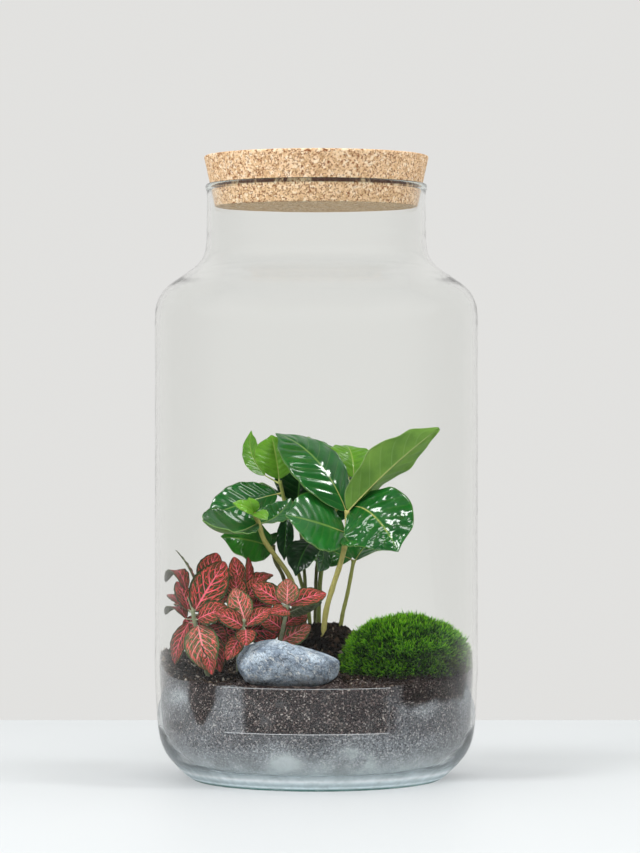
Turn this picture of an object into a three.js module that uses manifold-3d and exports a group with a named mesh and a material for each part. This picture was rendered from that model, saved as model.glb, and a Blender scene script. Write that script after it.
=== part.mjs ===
// A closed glass jar with a cork stopper, planted with coffee seedlings, small nerve plants,
// a cushion of moss and a stone on a bed of soil.
// Millimetres, +Z up. The origin is the middle of the jar's foot, and the front looks along -Y.

import * as THREE from 'three';
import { mergeVertices } from 'three/addons/utils/BufferGeometryUtils.js';
import Module from 'manifold-3d';

const wasm = await Module();
wasm.setup();

// Driving dimensions

const GAP = 0.3; // clearance between pieces that touch
const NEAR = 0.002; // vertices closer together than this are one
const SIDES = 36; // flat sides of everything round that shares the jar's axis
const TURN = THREE.MathUtils.degToRad(5); // half a side, so that a flat side looks to the front

const FLOOR_THICKNESS = 4.6;
const RIM_TOP = 331;
const NECK_RADIUS = 61.2;
const NECK_INNER_RADIUS = 58.7;
const BODY_RADIUS = 90;
const BODY_WALL = 2.5;
const PUSH_UP = 1.5; // the middle of the foot stands this far off the table

const CORK_BOTTOM = 318.2;
const CORK_TOP = 346.7;
const CORK_SMALL_RADIUS = 56.5;
const CORK_LARGE_RADIUS = 62.5;
const CORK_EDGE = 0.8;

const LABEL = { bottom: 32.4, top: 57, leftSides: 3.4, rightSides: 2.6, off: 0.1, thickness: 0.35 };

const SOIL_LEVEL = 59.5;
const SOIL_SLOPE = 0.03; // the soil rises towards the back

const ROOT_PLUG = {
  at: [4, 5], radii: [27, 24], base: 54, top: 84.5, round: 2.6, bump: 1.3, bumpSize: 4.5, sides: 22, rows: 6,
};
const MOSS = {
  at: [49.5, -18], radii: [37.5, 27], base: 56.8, top: 92, round: 2.3, bump: 0.6, bumpSize: 7, sides: 26, rows: 8,
};
const MOSS_REACH = 86.9; // the cushion is pressed against the glass

const STONE = { at: [-15, -50, 67.5], half: [28, 14.5, 13], square: 2.6, fall: 0.6, bump: 0.7, bumpSize: 6 };

// Leaves

const COFFEE = {
  thickness: 0.7,
  stalk: { half: 0.7, thickness: 1.3 },
  rows: [0.1, 0.26, 0.43, 0.6, 0.76, 0.9, 1],
  across: 4,
  width: (t) => Math.sin(Math.PI * t ** 0.92) ** 0.72 * (1 - 0.45 * THREE.MathUtils.smoothstep(t, 0.8, 0.97)),
};
const NERVE_PLANT = {
  thickness: 0.65,
  stalk: { half: 0.6, thickness: 1.1 },
  rows: [0.13, 0.34, 0.58, 0.82, 1],
  across: 2,
  width: (t) => Math.sin(Math.PI * t ** 0.86) ** 0.68,
};

// Each leaf runs from its stalk to its tip, its upper side looks along face, and wide is its full width.
// arch and side bow the midrib up and sideways, as a share of the leaf's length. fold lifts both halves,
// in degrees. cup curls the margins, wave makes them wavy, and twist turns the tip, in degrees.
const COFFEE_SEEDLINGS = [
  {
    name: 'coffee_seedling_1',
    radius: 1.5,
    stem: [[3, -8, 70], [5.5, -8, 94], [9.5, -7, 108], [14, -6, 122], [17, -6, 137], [17, -6, 149.5]],
    leaves: [
      { from: [16.5, -5, 149], to: [-23, 20, 192], face: [0.4, -0.72, 0.56], wide: 36, arch: 0.16, fold: -14 },
      {
        from: [17.5, -6, 149], to: [68, -12, 195.5], face: [-0.35, 0.62, 0.7], wide: 30,
        arch: 0.03, fold: 24, cup: 0.1, wave: 1.4, waves: 2.5, twist: 14,
      },
      {
        from: [18.4, -1, 150], to: [45, -30, 127.5], face: [0.05, -0.95, 0.3], wide: 42,
        arch: 0.1, side: -0.11, skew: 0.7, fold: 4, wave: 1,
      },
      { from: [16, -8, 137], to: [-17, -26, 147.5], face: [0, -0.75, 0.66], wide: 42, arch: 0.03, fold: 6 },
      { from: [16.5, -8, 136], to: [30.5, -24, 131.5], face: [0, -0.8, 0.6], wide: 21, arch: 0.15, fold: 4 },
    ],
  },
  {
    name: 'coffee_seedling_2',
    radius: 1.15,
    stem: [[12, 5, 72], [14.5, 5, 90], [17.5, 5, 103], [21, 5.5, 121.5]],
    leaves: [
      { from: [19.5, 9, 121.5], to: [-4, 37, 131], face: [0, -0.95, 0.3], wide: 21, arch: 0, fold: 2, wave: 0.3 },
      { from: [22, 7, 121], to: [42, 40, 128], face: [0.1, -0.2, 1], wide: 30, arch: 0.2, wave: 1 },
    ],
  },
  {
    name: 'coffee_seedling_3',
    radius: 1.3,
    stem: [[1, 16, 72], [1.5, 16, 98], [2.6, 16, 113.5], [6.6, 17, 137.7], [13.3, 18, 154.5], [19, 19, 165]],
    leaves: [
      { from: [21, 19, 167], to: [17, 38, 185], face: [0.3, -0.85, 0.4], wide: 27, arch: 0.15 },
      { from: [18, 17, 167], to: [9, 24, 184], face: [-0.5, 0.6, 0.5], wide: 17, arch: 0.1 },
      { from: [16, 24, 168], to: [-8, 40, 190], face: [0.4, -0.05, 0.9], wide: 22, arch: 0.12 },
      { from: [21, 22, 164], to: [46, 42, 174], face: [0.1, 0.2, 1], wide: 32, arch: 0.14, wave: 1 },
      { from: [8, 18, 141], to: [14, 28, 159], face: [0, -0.9, 0.4], wide: 18, arch: 0.02 },
    ],
  },
  {
    name: 'coffee_seedling_4',
    radius: 0.95,
    stem: [[-7, 8, 72], [-6, 9, 100], [-7, 12, 118], [-9, 22, 138], [-11, 30, 150]],
    leaves: [
      { from: [-12, 32, 151], to: [-42, 58, 152], face: [-0.2, 0.4, 0.9], wide: 32, arch: 0.18, wave: 1 },
      { from: [-11, 33, 150], to: [-9, 47, 176], face: [0.1, -0.95, 0.25], wide: 29, arch: 0.06, wave: 0.8 },
      { from: [-10, 26, 139], to: [-46, 42, 135], face: [-0.1, 0.1, 1], wide: 30, arch: 0.18, wave: 1 },
    ],
  },
  {
    name: 'coffee_seedling_5',
    radius: 1.4,
    stem: [[-9, 0, 70], [-11, -1, 95], [-14, -3, 110.5], [-29, -12, 133.5], [-31.8, -15, 142.5], [-34.5, -18, 148.5]],
    leaves: [
      {
        from: [-32.5, -16, 142.5], to: [-61.5, -42, 145], face: [0.1, -0.36, 0.93], wide: 38,
        arch: -0.17, fold: 22, cup: 0.12,
      },
      { from: [-31, -15, 142.5], to: [-14, -2, 156], face: [-0.3, -0.6, 0.75], wide: 22, arch: -0.14, fold: 16 },
      { from: [-34.5, -18.5, 148], to: [-46, -23, 154], face: [0.2, -0.8, 0.6], wide: 8, arch: 0.15 },
      { from: [-35, -17.5, 148.5], to: [-37, -19, 157], face: [0, -0.9, 0.4], wide: 9, arch: 0.15 },
      { from: [-34, -19, 148], to: [-27, -25, 144.5], face: [0.3, -0.7, 0.6], wide: 9, arch: 0.15 },
    ],
  },
  {
    name: 'coffee_seedling_6',
    radius: 1.1,
    stem: [[-14, 4, 70], [-16, 5, 95], [-18.5, 6, 111.7], [-23.5, 8, 121.7], [-24, 7, 129.5]],
    leaves: [
      { from: [-25, 5, 128.5], to: [-53, -12, 135], face: [0, -0.92, 0.4], wide: 26, arch: 0.08, wave: 0.8 },
      { from: [-25, 9, 129], to: [-44, 34, 126], face: [-0.1, 0.1, 1], wide: 26, arch: 0.16, wave: 0.8 },
    ],
  },
  {
    name: 'coffee_seedling_7',
    radius: 1.1,
    stem: [[-2.4, 12, 72], [-5, 12, 96], [-9, 13, 110], [-15, 12, 132], [-17.6, 10, 152], [-20.5, 9, 165.5]],
    leaves: [
      { from: [-22, 12.5, 158], to: [-63, 6.5, 144.5], face: [-0.05, -0.8, 0.6], wide: 28, arch: 0.04, fold: 6 },
      { from: [-21, 12, 166.5], to: [-25.5, 22, 191], face: [0.2, -1, 0.3], wide: 26, arch: 0.08 },
      { from: [-29, 16, 168.5], to: [-37, 35, 193.5], face: [-0.45, -0.85, 0.2],
        wide: 11.5, arch: 0.05, side: -0.1 },
      { from: [-16.5, 11, 146], to: [-18, 4, 121], face: [-0.2, -0.95, 0.2], wide: 10, arch: 0.02 },
    ],
  },
  {
    name: 'coffee_seedling_8',
    radius: 1,
    stem: [[-0.7, 20, 72], [-0.5, 19, 98], [0, 16, 114], [2, 13, 129.5]],
    leaves: [
      { from: [-1.5, 10, 132], to: [-11.5, -9, 113], face: [-0.3, -0.9, 0.3], wide: 19, arch: 0.15 },
      { from: [3.5, 10, 129], to: [1, 1, 115], face: [0.8, -0.5, 0.2], wide: 14, arch: 0.1 },
    ],
  },
];

const NERVE_PLANTS = [
  {
    name: 'fittonia_plant_1',
    radius: 1.2,
    stem: [[-58, -32, 52], [-62, -36, 74], [-66, -38, 90], [-67, -39, 96]],
    leaves: [
      { from: [-65.5, -38, 96], to: [-50, -30, 122], face: [0, -1, 0.2], wide: 20, arch: 0.06 },
      { from: [-69, -36, 95], to: [-76, -28, 111], face: [0.6, -0.75, 0.1], wide: 12, arch: 0.05 },
      { from: [-64, -40, 87.5], to: [-58, -49, 63.5], face: [-0.1, -0.95, 0.3], wide: 19, arch: 0.1 },
      { from: [-69, -36, 89], to: [-77, -27, 65.5], face: [-0.5, -0.85, 0.1], wide: 10, arch: 0.1 },
      { from: [-71, -30, 106], to: [-83, -15, 110], face: [0.2, -0.3, 0.9], wide: 10, arch: 0.45 },
      { from: [-66, -30, 110], to: [-77, -22, 128], face: [0.7, 0.1, 0.7], wide: 9, arch: 0.05 },
      { from: [-62, -26, 109], to: [-55, -13, 126], face: [0, -0.9, 0.4], wide: 14, arch: 0.05 },
      { from: [-71, -32, 91], to: [-83, -15, 92], face: [0.2, -0.3, 0.9], wide: 9, arch: 0.25 },
      { from: [-73, -33, 98], to: [-81, -24, 103.5], face: [0.2, -0.5, 0.8], wide: 7, arch: 0.1 },
      { from: [-64, -40, 91], to: [-47, -44, 97], face: [0, -0.8, 0.6], wide: 15, arch: 0.08 },
      { from: [-62, -37, 84], to: [-52, -46, 62.5], face: [0.5, -0.8, 0.2], wide: 14, arch: 0.12 },
      { from: [-63, -36, 94], to: [-48, -29, 103], face: [0, -0.5, 0.85], wide: 13, arch: 0.1 },
      { from: [-60, -42, 73], to: [-56, -57, 62], face: [0.2, -0.9, 0.4], wide: 9, arch: 0.1 },
      { from: [-60, -34, 86], to: [-49, -30, 78], face: [0, -0.9, 0.3], wide: 12, arch: 0.1 },
    ],
  },
  {
    name: 'fittonia_plant_2',
    radius: 1.1,
    stem: [[-42, -30, 52], [-42.5, -37, 72], [-40.5, -45, 82], [-39, -50, 91.5]],
    leaves: [
      { from: [-38.7, -49, 91], to: [-44.5, -42, 108], face: [0, -0.85, 0.5], wide: 14, arch: 0.06 },
      { from: [-40, -51, 88], to: [-54.5, -57, 95.5], face: [0.1, -0.8, 0.6], wide: 13, arch: 0.08 },
      { from: [-37.5, -50.5, 88], to: [-24.5, -43, 97], face: [-0.1, -0.7, 0.7], wide: 12, arch: 0.08 },
      { from: [-38, -53, 86], to: [-37.5, -61, 78], face: [0, -0.85, 0.5], wide: 12, arch: 0.1 },
      { from: [-41, -48, 82], to: [-48, -58, 70], face: [0, -0.9, 0.3], wide: 10, arch: 0.1 },
    ],
  },
  {
    name: 'fittonia_plant_3',
    radius: 1.1,
    stem: [[-22, -20, 52], [-20, -27, 76], [-16.5, -36, 94], [-16, -38, 98.5]],
    leaves: [
      { from: [-16, -38, 99], to: [-15.5, -35, 113], face: [0, -0.95, 0.2], wide: 13.5, arch: 0.05 },
      { from: [-19, -37, 99.5], to: [-35, -31, 109.5], face: [0, -0.9, 0.5], wide: 13, arch: 0.06 },
      { from: [-14.5, -37.5, 98.5], to: [5.3, -28, 104.5], face: [0.1, -0.6, 0.75], wide: 15, arch: 0.06 },
      { from: [-14, -35, 95], to: [3, -21, 99], face: [0, 0.85, 0.5], wide: 15, arch: 0.05 },
      { from: [-15, -41, 95], to: [-24.5, -49, 94.5], face: [0, -0.7, 0.7], wide: 11, arch: 0.1 },
      { from: [-20.5, -28, 77], to: [-3, -26, 86.5], face: [0, -0.85, 0.5], wide: 15, arch: 0.08 },
      { from: [-19, -29, 85], to: [-31, -24, 92], face: [0, -0.85, 0.5], wide: 13, arch: 0.1 },
      { from: [-17.5, -30, 87], to: [-6, -18, 93], face: [0, -0.8, 0.5], wide: 13, arch: 0.1 },
    ],
  },
  {
    name: 'fittonia_plant_4',
    radius: 1.1,
    stem: [[-42, -14, 52], [-42, -19, 80], [-41, -25.5, 100], [-40, -27, 107.5]],
    leaves: [
      { from: [-41.5, -25, 107], to: [-45.5, -17, 124], face: [0, -0.9, 0.3], wide: 10, arch: 0.05 },
      { from: [-38.2, -25, 106], to: [-37.7, -18, 124], face: [0.8, -0.5, 0.2], wide: 9, arch: 0.05 },
      { from: [-43, -29.5, 100], to: [-44.5, -28, 115], face: [0, -0.9, 0.4], wide: 12, arch: 0.05 },
      { from: [-37.5, -29, 102], to: [-31.5, -26, 113.5], face: [0.2, -0.9, 0.4], wide: 10, arch: 0.05 },
      { from: [-37, -22, 104], to: [-24, -15, 114], face: [0, -0.3, 0.9], wide: 14, arch: 0.2 },
      { from: [-41, -17, 83], to: [-20, -9, 82], face: [0, -0.95, 0.3], wide: 16, arch: 0.05 },
      { from: [-44, -24, 98], to: [-51, -20, 113], face: [0, -0.9, 0.4], wide: 13, arch: 0.05 },
      { from: [-39.5, -21.5, 95.5], to: [-24.5, -14.5, 98.5], face: [0, -0.9, 0.4], wide: 14.5, arch: 0.06 },
    ],
  },
  {
    name: 'fittonia_plant_5',
    radius: 1.1,
    stem: [[-58, -6, 54], [-59, -8, 76], [-61, -9, 93]],
    leaves: [
      { from: [-63, -9, 93], to: [-79, 4, 97], face: [-0.3, -0.2, 0.9], wide: 16, arch: 0.15 },
      { from: [-60, -7, 93], to: [-46, 5, 99], face: [0.1, 0.1, 1], wide: 16, arch: 0.15 },
      { from: [-62, -6, 92], to: [-64, 14, 96], face: [0, 0.3, 1], wide: 16, arch: 0.15 },
      { from: [-60, -12, 94], to: [-52, -18, 104], face: [0.1, -0.4, 0.9], wide: 13, arch: 0.1 },
      { from: [-59, -8, 79], to: [-42, -3, 84], face: [0, -0.95, 0.3], wide: 17, arch: 0.06 },
      { from: [-60, -8, 81], to: [-74, 2, 88], face: [0, -0.9, 0.4], wide: 15, arch: 0.06 },
    ],
  },
];

// Solids

// Joins vertices that lie closer together than NEAR, and leaves out the faces that this closes up.
function mergedFaces(geometry) {
  const bare = geometry.clone();
  bare.deleteAttribute('normal');
  bare.deleteAttribute('uv');
  const merged = mergeVertices(bare, NEAR);
  const index = merged.index.array;
  const corners = [];
  for (let i = 0; i < index.length; i += 3) {
    const [first, second, third] = index.slice(i, i + 3);
    if (first !== second && second !== third && third !== first) {
      corners.push(first, second, third);
    }
  }
  merged.setIndex(corners);
  return merged;
}

function signedVolume(geometry) {
  const places = geometry.attributes.position;
  const index = geometry.index.array;
  const [a, b, c] = [new THREE.Vector3(), new THREE.Vector3(), new THREE.Vector3()];
  let volume = 0;
  for (let i = 0; i < index.length; i += 3) {
    a.fromBufferAttribute(places, index[i]);
    b.fromBufferAttribute(places, index[i + 1]);
    c.fromBufferAttribute(places, index[i + 2]);
    volume += a.dot(b.cross(c)) / 6;
  }
  return volume;
}

// A closed geometry becomes a solid that can be cut and joined, with its faces turned outwards.
function toSolid(geometry) {
  const merged = mergedFaces(geometry);
  const corners = Uint32Array.from(merged.index.array);
  if (signedVolume(merged) < 0) {
    corners.reverse();
  }
  const vertProperties = new Float32Array(merged.attributes.position.array);
  return new wasm.Manifold(new wasm.Mesh({ numProp: 3, vertProperties, triVerts: corners }));
}

function toGeometry(solid) {
  const mesh = solid.getMesh();
  const geometry = new THREE.BufferGeometry();
  geometry.setAttribute('position', new THREE.BufferAttribute(mesh.vertProperties, 3));
  geometry.setIndex(new THREE.BufferAttribute(mesh.triVerts, 1));
  const merged = mergedFaces(geometry);
  merged.computeVertexNormals();
  return merged;
}

function namedMesh(name, geometry, look) {
  const mesh = new THREE.Mesh(geometry, new THREE.MeshStandardMaterial(look));
  mesh.name = name;
  return mesh;
}

// Turns an outline of [radius, height] points about the upright axis.
function turned(outline, sides = SIDES, turn = TURN) {
  const points = outline.map(([radius, height]) => new THREE.Vector2(radius, height));
  return new THREE.LatheGeometry(points, sides).rotateX(Math.PI / 2).rotateZ(turn);
}

function moveVertices(geometry, move) {
  const places = geometry.attributes.position;
  const point = new THREE.Vector3();
  for (let i = 0; i < places.count; i += 1) {
    point.fromBufferAttribute(places, i);
    move(point);
    places.setXYZ(i, point.x, point.y, point.z);
  }
  return geometry;
}

// An uneven value between -1 and 1 that changes over about one size.
function unevenness(x, y, z, size) {
  const slow = Math.sin(x / size + 1.7 * Math.sin(y / size + 0.4)) * Math.cos(z / size + 0.9);
  const quick = Math.sin((2.3 * y) / size + 1.1) * Math.cos((1.9 * x) / size + (1.3 * z) / size);
  return 0.6 * slow + 0.4 * quick;
}

// Glass jar

const JAR_OUTSIDE = [
  [0, PUSH_UP], [48, PUSH_UP], [52, 0], [66, 0], [71.5, 3], [78.3, 8.4], [83.7, 14.5], [86.8, 21.7], [88.4, 31],
  [BODY_RADIUS, 60], [BODY_RADIUS, 256], [89.1, 264], [85, 272], [75, 279.8], [67, 285.6],
  [62.9, 291], [NECK_RADIUS, 299], [NECK_RADIUS, 327], [61.7, 328.2],
];
const JAR_INSIDE = [
  [59.7, RIM_TOP - 0.8], [NECK_INNER_RADIUS + 0.6, 325], [NECK_INNER_RADIUS, 299], [61, 289.4], [65.6, 283.6],
  [73.6, 277.6], [82.8, 270.4], [86.6, 263], [BODY_RADIUS - BODY_WALL, 255],
  [BODY_RADIUS - BODY_WALL, 60], [86.3, 36], [85.2, 27], [82.3, 19.2], [77.2, 12.6],
  [69.5, 7.6], [60, FLOOR_THICKNESS], [0, FLOOR_THICKNESS + 0.4],
];

function glassJar() {
  const rim = [[61.7, RIM_TOP - 0.9], [61.1, RIM_TOP], [60.3, RIM_TOP]];
  const geometry = turned([...JAR_OUTSIDE, ...rim, ...JAR_INSIDE]);
  return namedMesh('glass_jar', toGeometry(toSolid(geometry)), { color: 0xdfeae6, roughness: 0.05, metalness: 0 });
}

// Cork stopper

function corkStopper() {
  const geometry = turned([
    [0, CORK_BOTTOM], [CORK_SMALL_RADIUS - CORK_EDGE, CORK_BOTTOM], [CORK_SMALL_RADIUS, CORK_BOTTOM + CORK_EDGE],
    [CORK_LARGE_RADIUS, CORK_TOP - CORK_EDGE], [CORK_LARGE_RADIUS - CORK_EDGE, CORK_TOP], [0, CORK_TOP],
  ]);
  return namedMesh('cork_stopper', toGeometry(toSolid(geometry)), { color: 0xc9a06d, roughness: 0.9, metalness: 0 });
}

// Bare clear label

function bodyRadiusAt(height) {
  return THREE.MathUtils.mapLinear(height, 31, 60, 88.4, BODY_RADIUS);
}

function blankLabel() {
  const inner = (height) => bodyRadiusAt(height) + LABEL.off;
  const outer = (height) => inner(height) + LABEL.thickness;
  const band = turned([
    [inner(LABEL.bottom), LABEL.bottom], [outer(LABEL.bottom), LABEL.bottom],
    [outer(LABEL.top), LABEL.top], [inner(LABEL.top), LABEL.top], [inner(LABEL.bottom), LABEL.bottom],
  ]);
  const side = (2 * Math.PI) / SIDES;
  const front = -Math.PI / 2;
  const reach = 2 * BODY_RADIUS;
  const sector = new THREE.Shape();
  sector.moveTo(0, 0);
  for (const sides of [-LABEL.leftSides, 0, LABEL.rightSides]) {
    const angle = front + sides * side;
    sector.lineTo(reach * Math.cos(angle), reach * Math.sin(angle));
  }
  const wedge = new THREE.ExtrudeGeometry(sector, { depth: 2 * LABEL.top, bevelEnabled: false });
  const label = toSolid(band).intersect(toSolid(wedge));
  return namedMesh('blank_label', toGeometry(label), { color: 0xe8eceb, roughness: 0.3, metalness: 0 });
}

// Cushions, the root plug and the stone

// A rounded mound with a flat base. grow makes the same shape larger all round.
function mound(spec, grow = 0) {
  const outline = [[0, 0], [1, 0]];
  for (let row = 1; row <= spec.rows; row += 1) {
    const angle = (row / spec.rows) * (Math.PI / 2);
    outline.push([Math.cos(angle) ** (2 / spec.round), Math.sin(angle) ** (2 / spec.round)]);
  }
  outline[outline.length - 1][0] = 0;
  const height = spec.top - spec.base;
  return moveVertices(turned(outline, spec.sides, 0), (point) => {
    const reach = Math.hypot(point.x, point.y);
    const lump = spec.bump * unevenness(
      point.x * spec.radii[0], point.y * spec.radii[1], point.z * height, spec.bumpSize);
    const swell = reach > 0 ? (lump + grow) / reach : 0;
    point.x = spec.at[0] + point.x * (spec.radii[0] + swell);
    point.y = spec.at[1] + point.y * (spec.radii[1] + swell);
    point.z = point.z > 0 ? spec.base + point.z * (height + lump + grow) : spec.base - grow;
  });
}

function stoneBlock(grow = 0) {
  const power = STONE.square;
  return moveVertices(new THREE.IcosahedronGeometry(1, 3), (point) => {
    const sum = Math.abs(point.x) ** power + Math.abs(point.y) ** power + Math.abs(point.z) ** power;
    point.multiplyScalar(sum ** (-1 / power));
    const lump = STONE.bump * unevenness(
      point.x * STONE.half[0], point.y * STONE.half[1], point.z * STONE.half[2], STONE.bumpSize);
    const fall = 1 - STONE.fall * THREE.MathUtils.smoothstep(point.x, -0.4, 1);
    const drop = point.z > 0 ? fall : 1;
    point.x = STONE.at[0] + point.x * (STONE.half[0] + lump + grow);
    point.y = STONE.at[1] + point.y * (STONE.half[1] + lump + grow);
    point.z = STONE.at[2] + point.z * (STONE.half[2] * drop + lump + grow);
  });
}

function mossCushion() {
  const insideGlass = turned([[0, MOSS.base - 5], [MOSS_REACH, MOSS.base - 5], [MOSS_REACH, MOSS.top + 5],
    [0, MOSS.top + 5]]);
  return toSolid(mound(MOSS)).intersect(toSolid(insideGlass)).subtract(toSolid(mound(ROOT_PLUG, GAP)));
}

// Soil

function soilHeight(x, y) {
  const leftBank = 11 * Math.exp(-((x + 82) ** 2 + (y + 2) ** 2) / 650);
  const rightBank = 6 * Math.exp(-((x - 84) ** 2 + y ** 2) / 1250);
  const middle = 3 * Math.exp(-((x - 4) ** 2 + (y - 8) ** 2) / 1800);
  return SOIL_LEVEL + SOIL_SLOPE * y + leftBank + rightBank + middle + 0.9 * unevenness(x, y, 0, 7);
}

function soilBed(settled) {
  const below = JAR_INSIDE.filter(([, height]) => height < SOIL_LEVEL).reverse();
  const outline = below.map(([radius, height]) => [Math.max(radius - GAP, 0), height + GAP]);
  const reach = BODY_RADIUS - BODY_WALL - GAP;
  const rings = [reach, 76, 62, 48, 34, 18, 0];
  for (const radius of rings) {
    outline.push([radius, SOIL_LEVEL + 20]);
  }
  const bed = moveVertices(turned(outline), (point) => {
    if (point.z > SOIL_LEVEL + 10) {
      point.z = soilHeight(point.x, point.y);
    }
  });
  let solid = toSolid(bed);
  for (const piece of settled) {
    solid = solid.subtract(toSolid(piece));
  }
  return solid;
}

// Plants

function leafFrame(leaf) {
  const start = new THREE.Vector3(...leaf.from);
  const chord = new THREE.Vector3(...leaf.to).sub(start);
  const length = chord.length();
  const run = chord.clone().normalize();
  const up = new THREE.Vector3(...leaf.face).projectOnPlane(run).normalize();
  const across = new THREE.Vector3().crossVectors(run, up);
  const bow = up.clone().multiplyScalar(leaf.arch).addScaledVector(across, leaf.side ?? 0);
  const middle = (t) => {
    const eased = t ** (leaf.skew ?? 1);
    return start.clone().addScaledVector(chord, t).addScaledVector(bow, length * 4 * eased * (1 - eased));
  };
  return { run, up, middle };
}

// One point of the leaf's middle surface, with the way its upper side faces there.
function leafPoint(leaf, kind, frame, t, s) {
  const step = 0.001;
  const ahead = frame.middle(Math.min(1, t + step));
  const tangent = ahead.sub(frame.middle(Math.max(0, t - step))).normalize();
  const turn = THREE.MathUtils.degToRad((leaf.twist ?? 0) * t);
  const normal = frame.up.clone().projectOnPlane(tangent).normalize().applyAxisAngle(tangent, -turn);
  const across = new THREE.Vector3().crossVectors(tangent, normal);
  const half = t < 1 ? (leaf.wide / 2) * kind.width(t) : 0;
  const fold = THREE.MathUtils.degToRad(leaf.fold ?? 12) * (1 - 0.6 * t);
  const phase = 2 * Math.PI * (leaf.waves ?? 3) * t + (s > 0 ? 0 : 1.9);
  const wave = half > 0 ? (leaf.wave ?? 0) * s * s * Math.sin(phase) : 0;
  const lift = Math.abs(s) * half * Math.sin(fold) + (leaf.cup ?? 0) * half * s * s + wave;
  const point = frame.middle(t).addScaledVector(across, s * half * Math.cos(fold)).addScaledVector(normal, lift);
  return { point, normal };
}

// The points of the stalk's two ends: inside the stem, and where the blade starts.
function stalkPoint(kind, frame, place, s) {
  const across = new THREE.Vector3().crossVectors(frame.run, frame.up);
  return { point: place.clone().addScaledVector(across, s * kind.stalk.half), normal: frame.up };
}

// Both faces of the stalk and blade share one grid, so they bend alike, and a wall joins them all round.
function leafGeometry(leaf, kind, foot) {
  const frame = leafFrame(leaf);
  const columns = kind.across + 1;
  const rows = kind.rows.length + 2;
  const layer = rows * columns;
  const places = [];
  for (const side of [0.5, -0.5]) {
    const addRow = (thickness, pointAt) => {
      for (let column = 0; column < columns; column += 1) {
        const { point, normal } = pointAt((2 * column) / kind.across - 1);
        places.push(...point.addScaledVector(normal, side * thickness).toArray());
      }
    };
    for (const end of [foot, frame.middle(0)]) {
      addRow(kind.stalk.thickness, (s) => stalkPoint(kind, frame, end, s));
    }
    for (const t of kind.rows) {
      addRow(kind.thickness, (s) => leafPoint(leaf, kind, frame, t, s));
    }
  }
  const corners = [];
  for (let column = 0; column < kind.across; column += 1) {
    corners.push(column + 1, column, column + layer, column + 1, column + layer, column + layer + 1);
  }
  for (let row = 0; row < rows - 1; row += 1) {
    for (let column = 0; column < kind.across; column += 1) {
      const a = row * columns + column;
      const b = a + 1;
      const c = a + columns;
      const d = c + 1;
      corners.push(a, b, c, b, d, c);
      corners.push(a + layer, c + layer, b + layer, b + layer, c + layer, d + layer);
    }
    const left = row * columns;
    const right = left + kind.across;
    corners.push(left, left + columns, left + layer, left + columns, left + columns + layer, left + layer);
    corners.push(right, right + layer, right + columns);
    corners.push(right + columns, right + layer, right + columns + layer);
  }
  const geometry = new THREE.BufferGeometry();
  geometry.setAttribute('position', new THREE.Float32BufferAttribute(places, 3));
  geometry.setIndex(corners);
  return geometry;
}

function rod(points, radius, sides, steps) {
  const path = new THREE.CatmullRomCurve3(points.map((point) => new THREE.Vector3(...point)));
  const ring = [];
  for (let side = 0; side < sides; side += 1) {
    const angle = (side / sides) * 2 * Math.PI;
    ring.push(new THREE.Vector2(radius * Math.cos(angle), radius * Math.sin(angle)));
  }
  return new THREE.ExtrudeGeometry(new THREE.Shape(ring), { steps, extrudePath: path, bevelEnabled: false });
}

function stemRod(plant) {
  return rod(plant.stem, plant.radius, 6, plant.stem.length + 1);
}

// The hole that a stem stands in, a little wider and deeper than the stem.
function stemHole(plant) {
  const [x, y, z] = plant.stem[0];
  return rod([[x, y, z - GAP], ...plant.stem.slice(1)], plant.radius + GAP, 6, plant.stem.length + 1);
}

// Where a stalk is rooted: inside the stem, a little way from its ends.
function nearestOnStem(plant, place) {
  const path = new THREE.CatmullRomCurve3(plant.stem.map((point) => new THREE.Vector3(...point)));
  const target = new THREE.Vector3(...place);
  const points = path.getPoints(60).slice(3, -2);
  const gaps = points.map((point) => point.distanceTo(target));
  return points[gaps.indexOf(Math.min(...gaps))];
}

// Blades that cross can enclose a tiny pocket between them. The plant is solid there.
function outerSkin(solid) {
  const shells = solid.decompose();
  return shells.reduce((largest, shell) => (shell.volume() > largest.volume() ? shell : largest));
}

function plantSolid(plant, kind) {
  const pieces = [toSolid(stemRod(plant))];
  for (const leaf of plant.leaves) {
    pieces.push(toSolid(leafGeometry(leaf, kind, nearestOnStem(plant, leaf.from))));
  }
  return outerSkin(wasm.Manifold.union(pieces));
}

// The whole terrarium

const terrarium = new THREE.Group();
terrarium.add(glassJar(), corkStopper(), blankLabel());

let rootPlug = toSolid(mound(ROOT_PLUG));
for (const plant of COFFEE_SEEDLINGS) {
  rootPlug = rootPlug.subtract(toSolid(stemHole(plant)));
}
const settled = [mound(ROOT_PLUG, GAP), mound(MOSS, GAP), stoneBlock(GAP), ...NERVE_PLANTS.map(stemHole)];
terrarium.add(
  namedMesh('soil_bed', toGeometry(soilBed(settled)), { color: 0x3a2f28, roughness: 0.95, metalness: 0 }),
  namedMesh('coffee_root_plug', toGeometry(rootPlug), { color: 0x2a201a, roughness: 0.95, metalness: 0 }),
  namedMesh('stone', toGeometry(toSolid(stoneBlock())), { color: 0x7f8b97, roughness: 0.8, metalness: 0 }),
  namedMesh('moss_cushion', toGeometry(mossCushion()), { color: 0x55802c, roughness: 0.95, metalness: 0 }),
);
for (const plant of COFFEE_SEEDLINGS) {
  const look = { color: 0x2f7a35, roughness: 0.25, metalness: 0 };
  terrarium.add(namedMesh(plant.name, toGeometry(plantSolid(plant, COFFEE)), look));
}
for (const plant of NERVE_PLANTS) {
  const look = { color: 0xc0525a, roughness: 0.55, metalness: 0 };
  terrarium.add(namedMesh(plant.name, toGeometry(plantSolid(plant, NERVE_PLANT)), look));
}

export default terrarium;
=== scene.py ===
"""The looks of a planted glass jar: glass, cork, bare label film, soil, root ball, stone, moss and leaves.

The tables repeat the real sizes of the model, in millimetres: +Z is up, the front looks along -Y.
"""
import math
from types import SimpleNamespace

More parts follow.
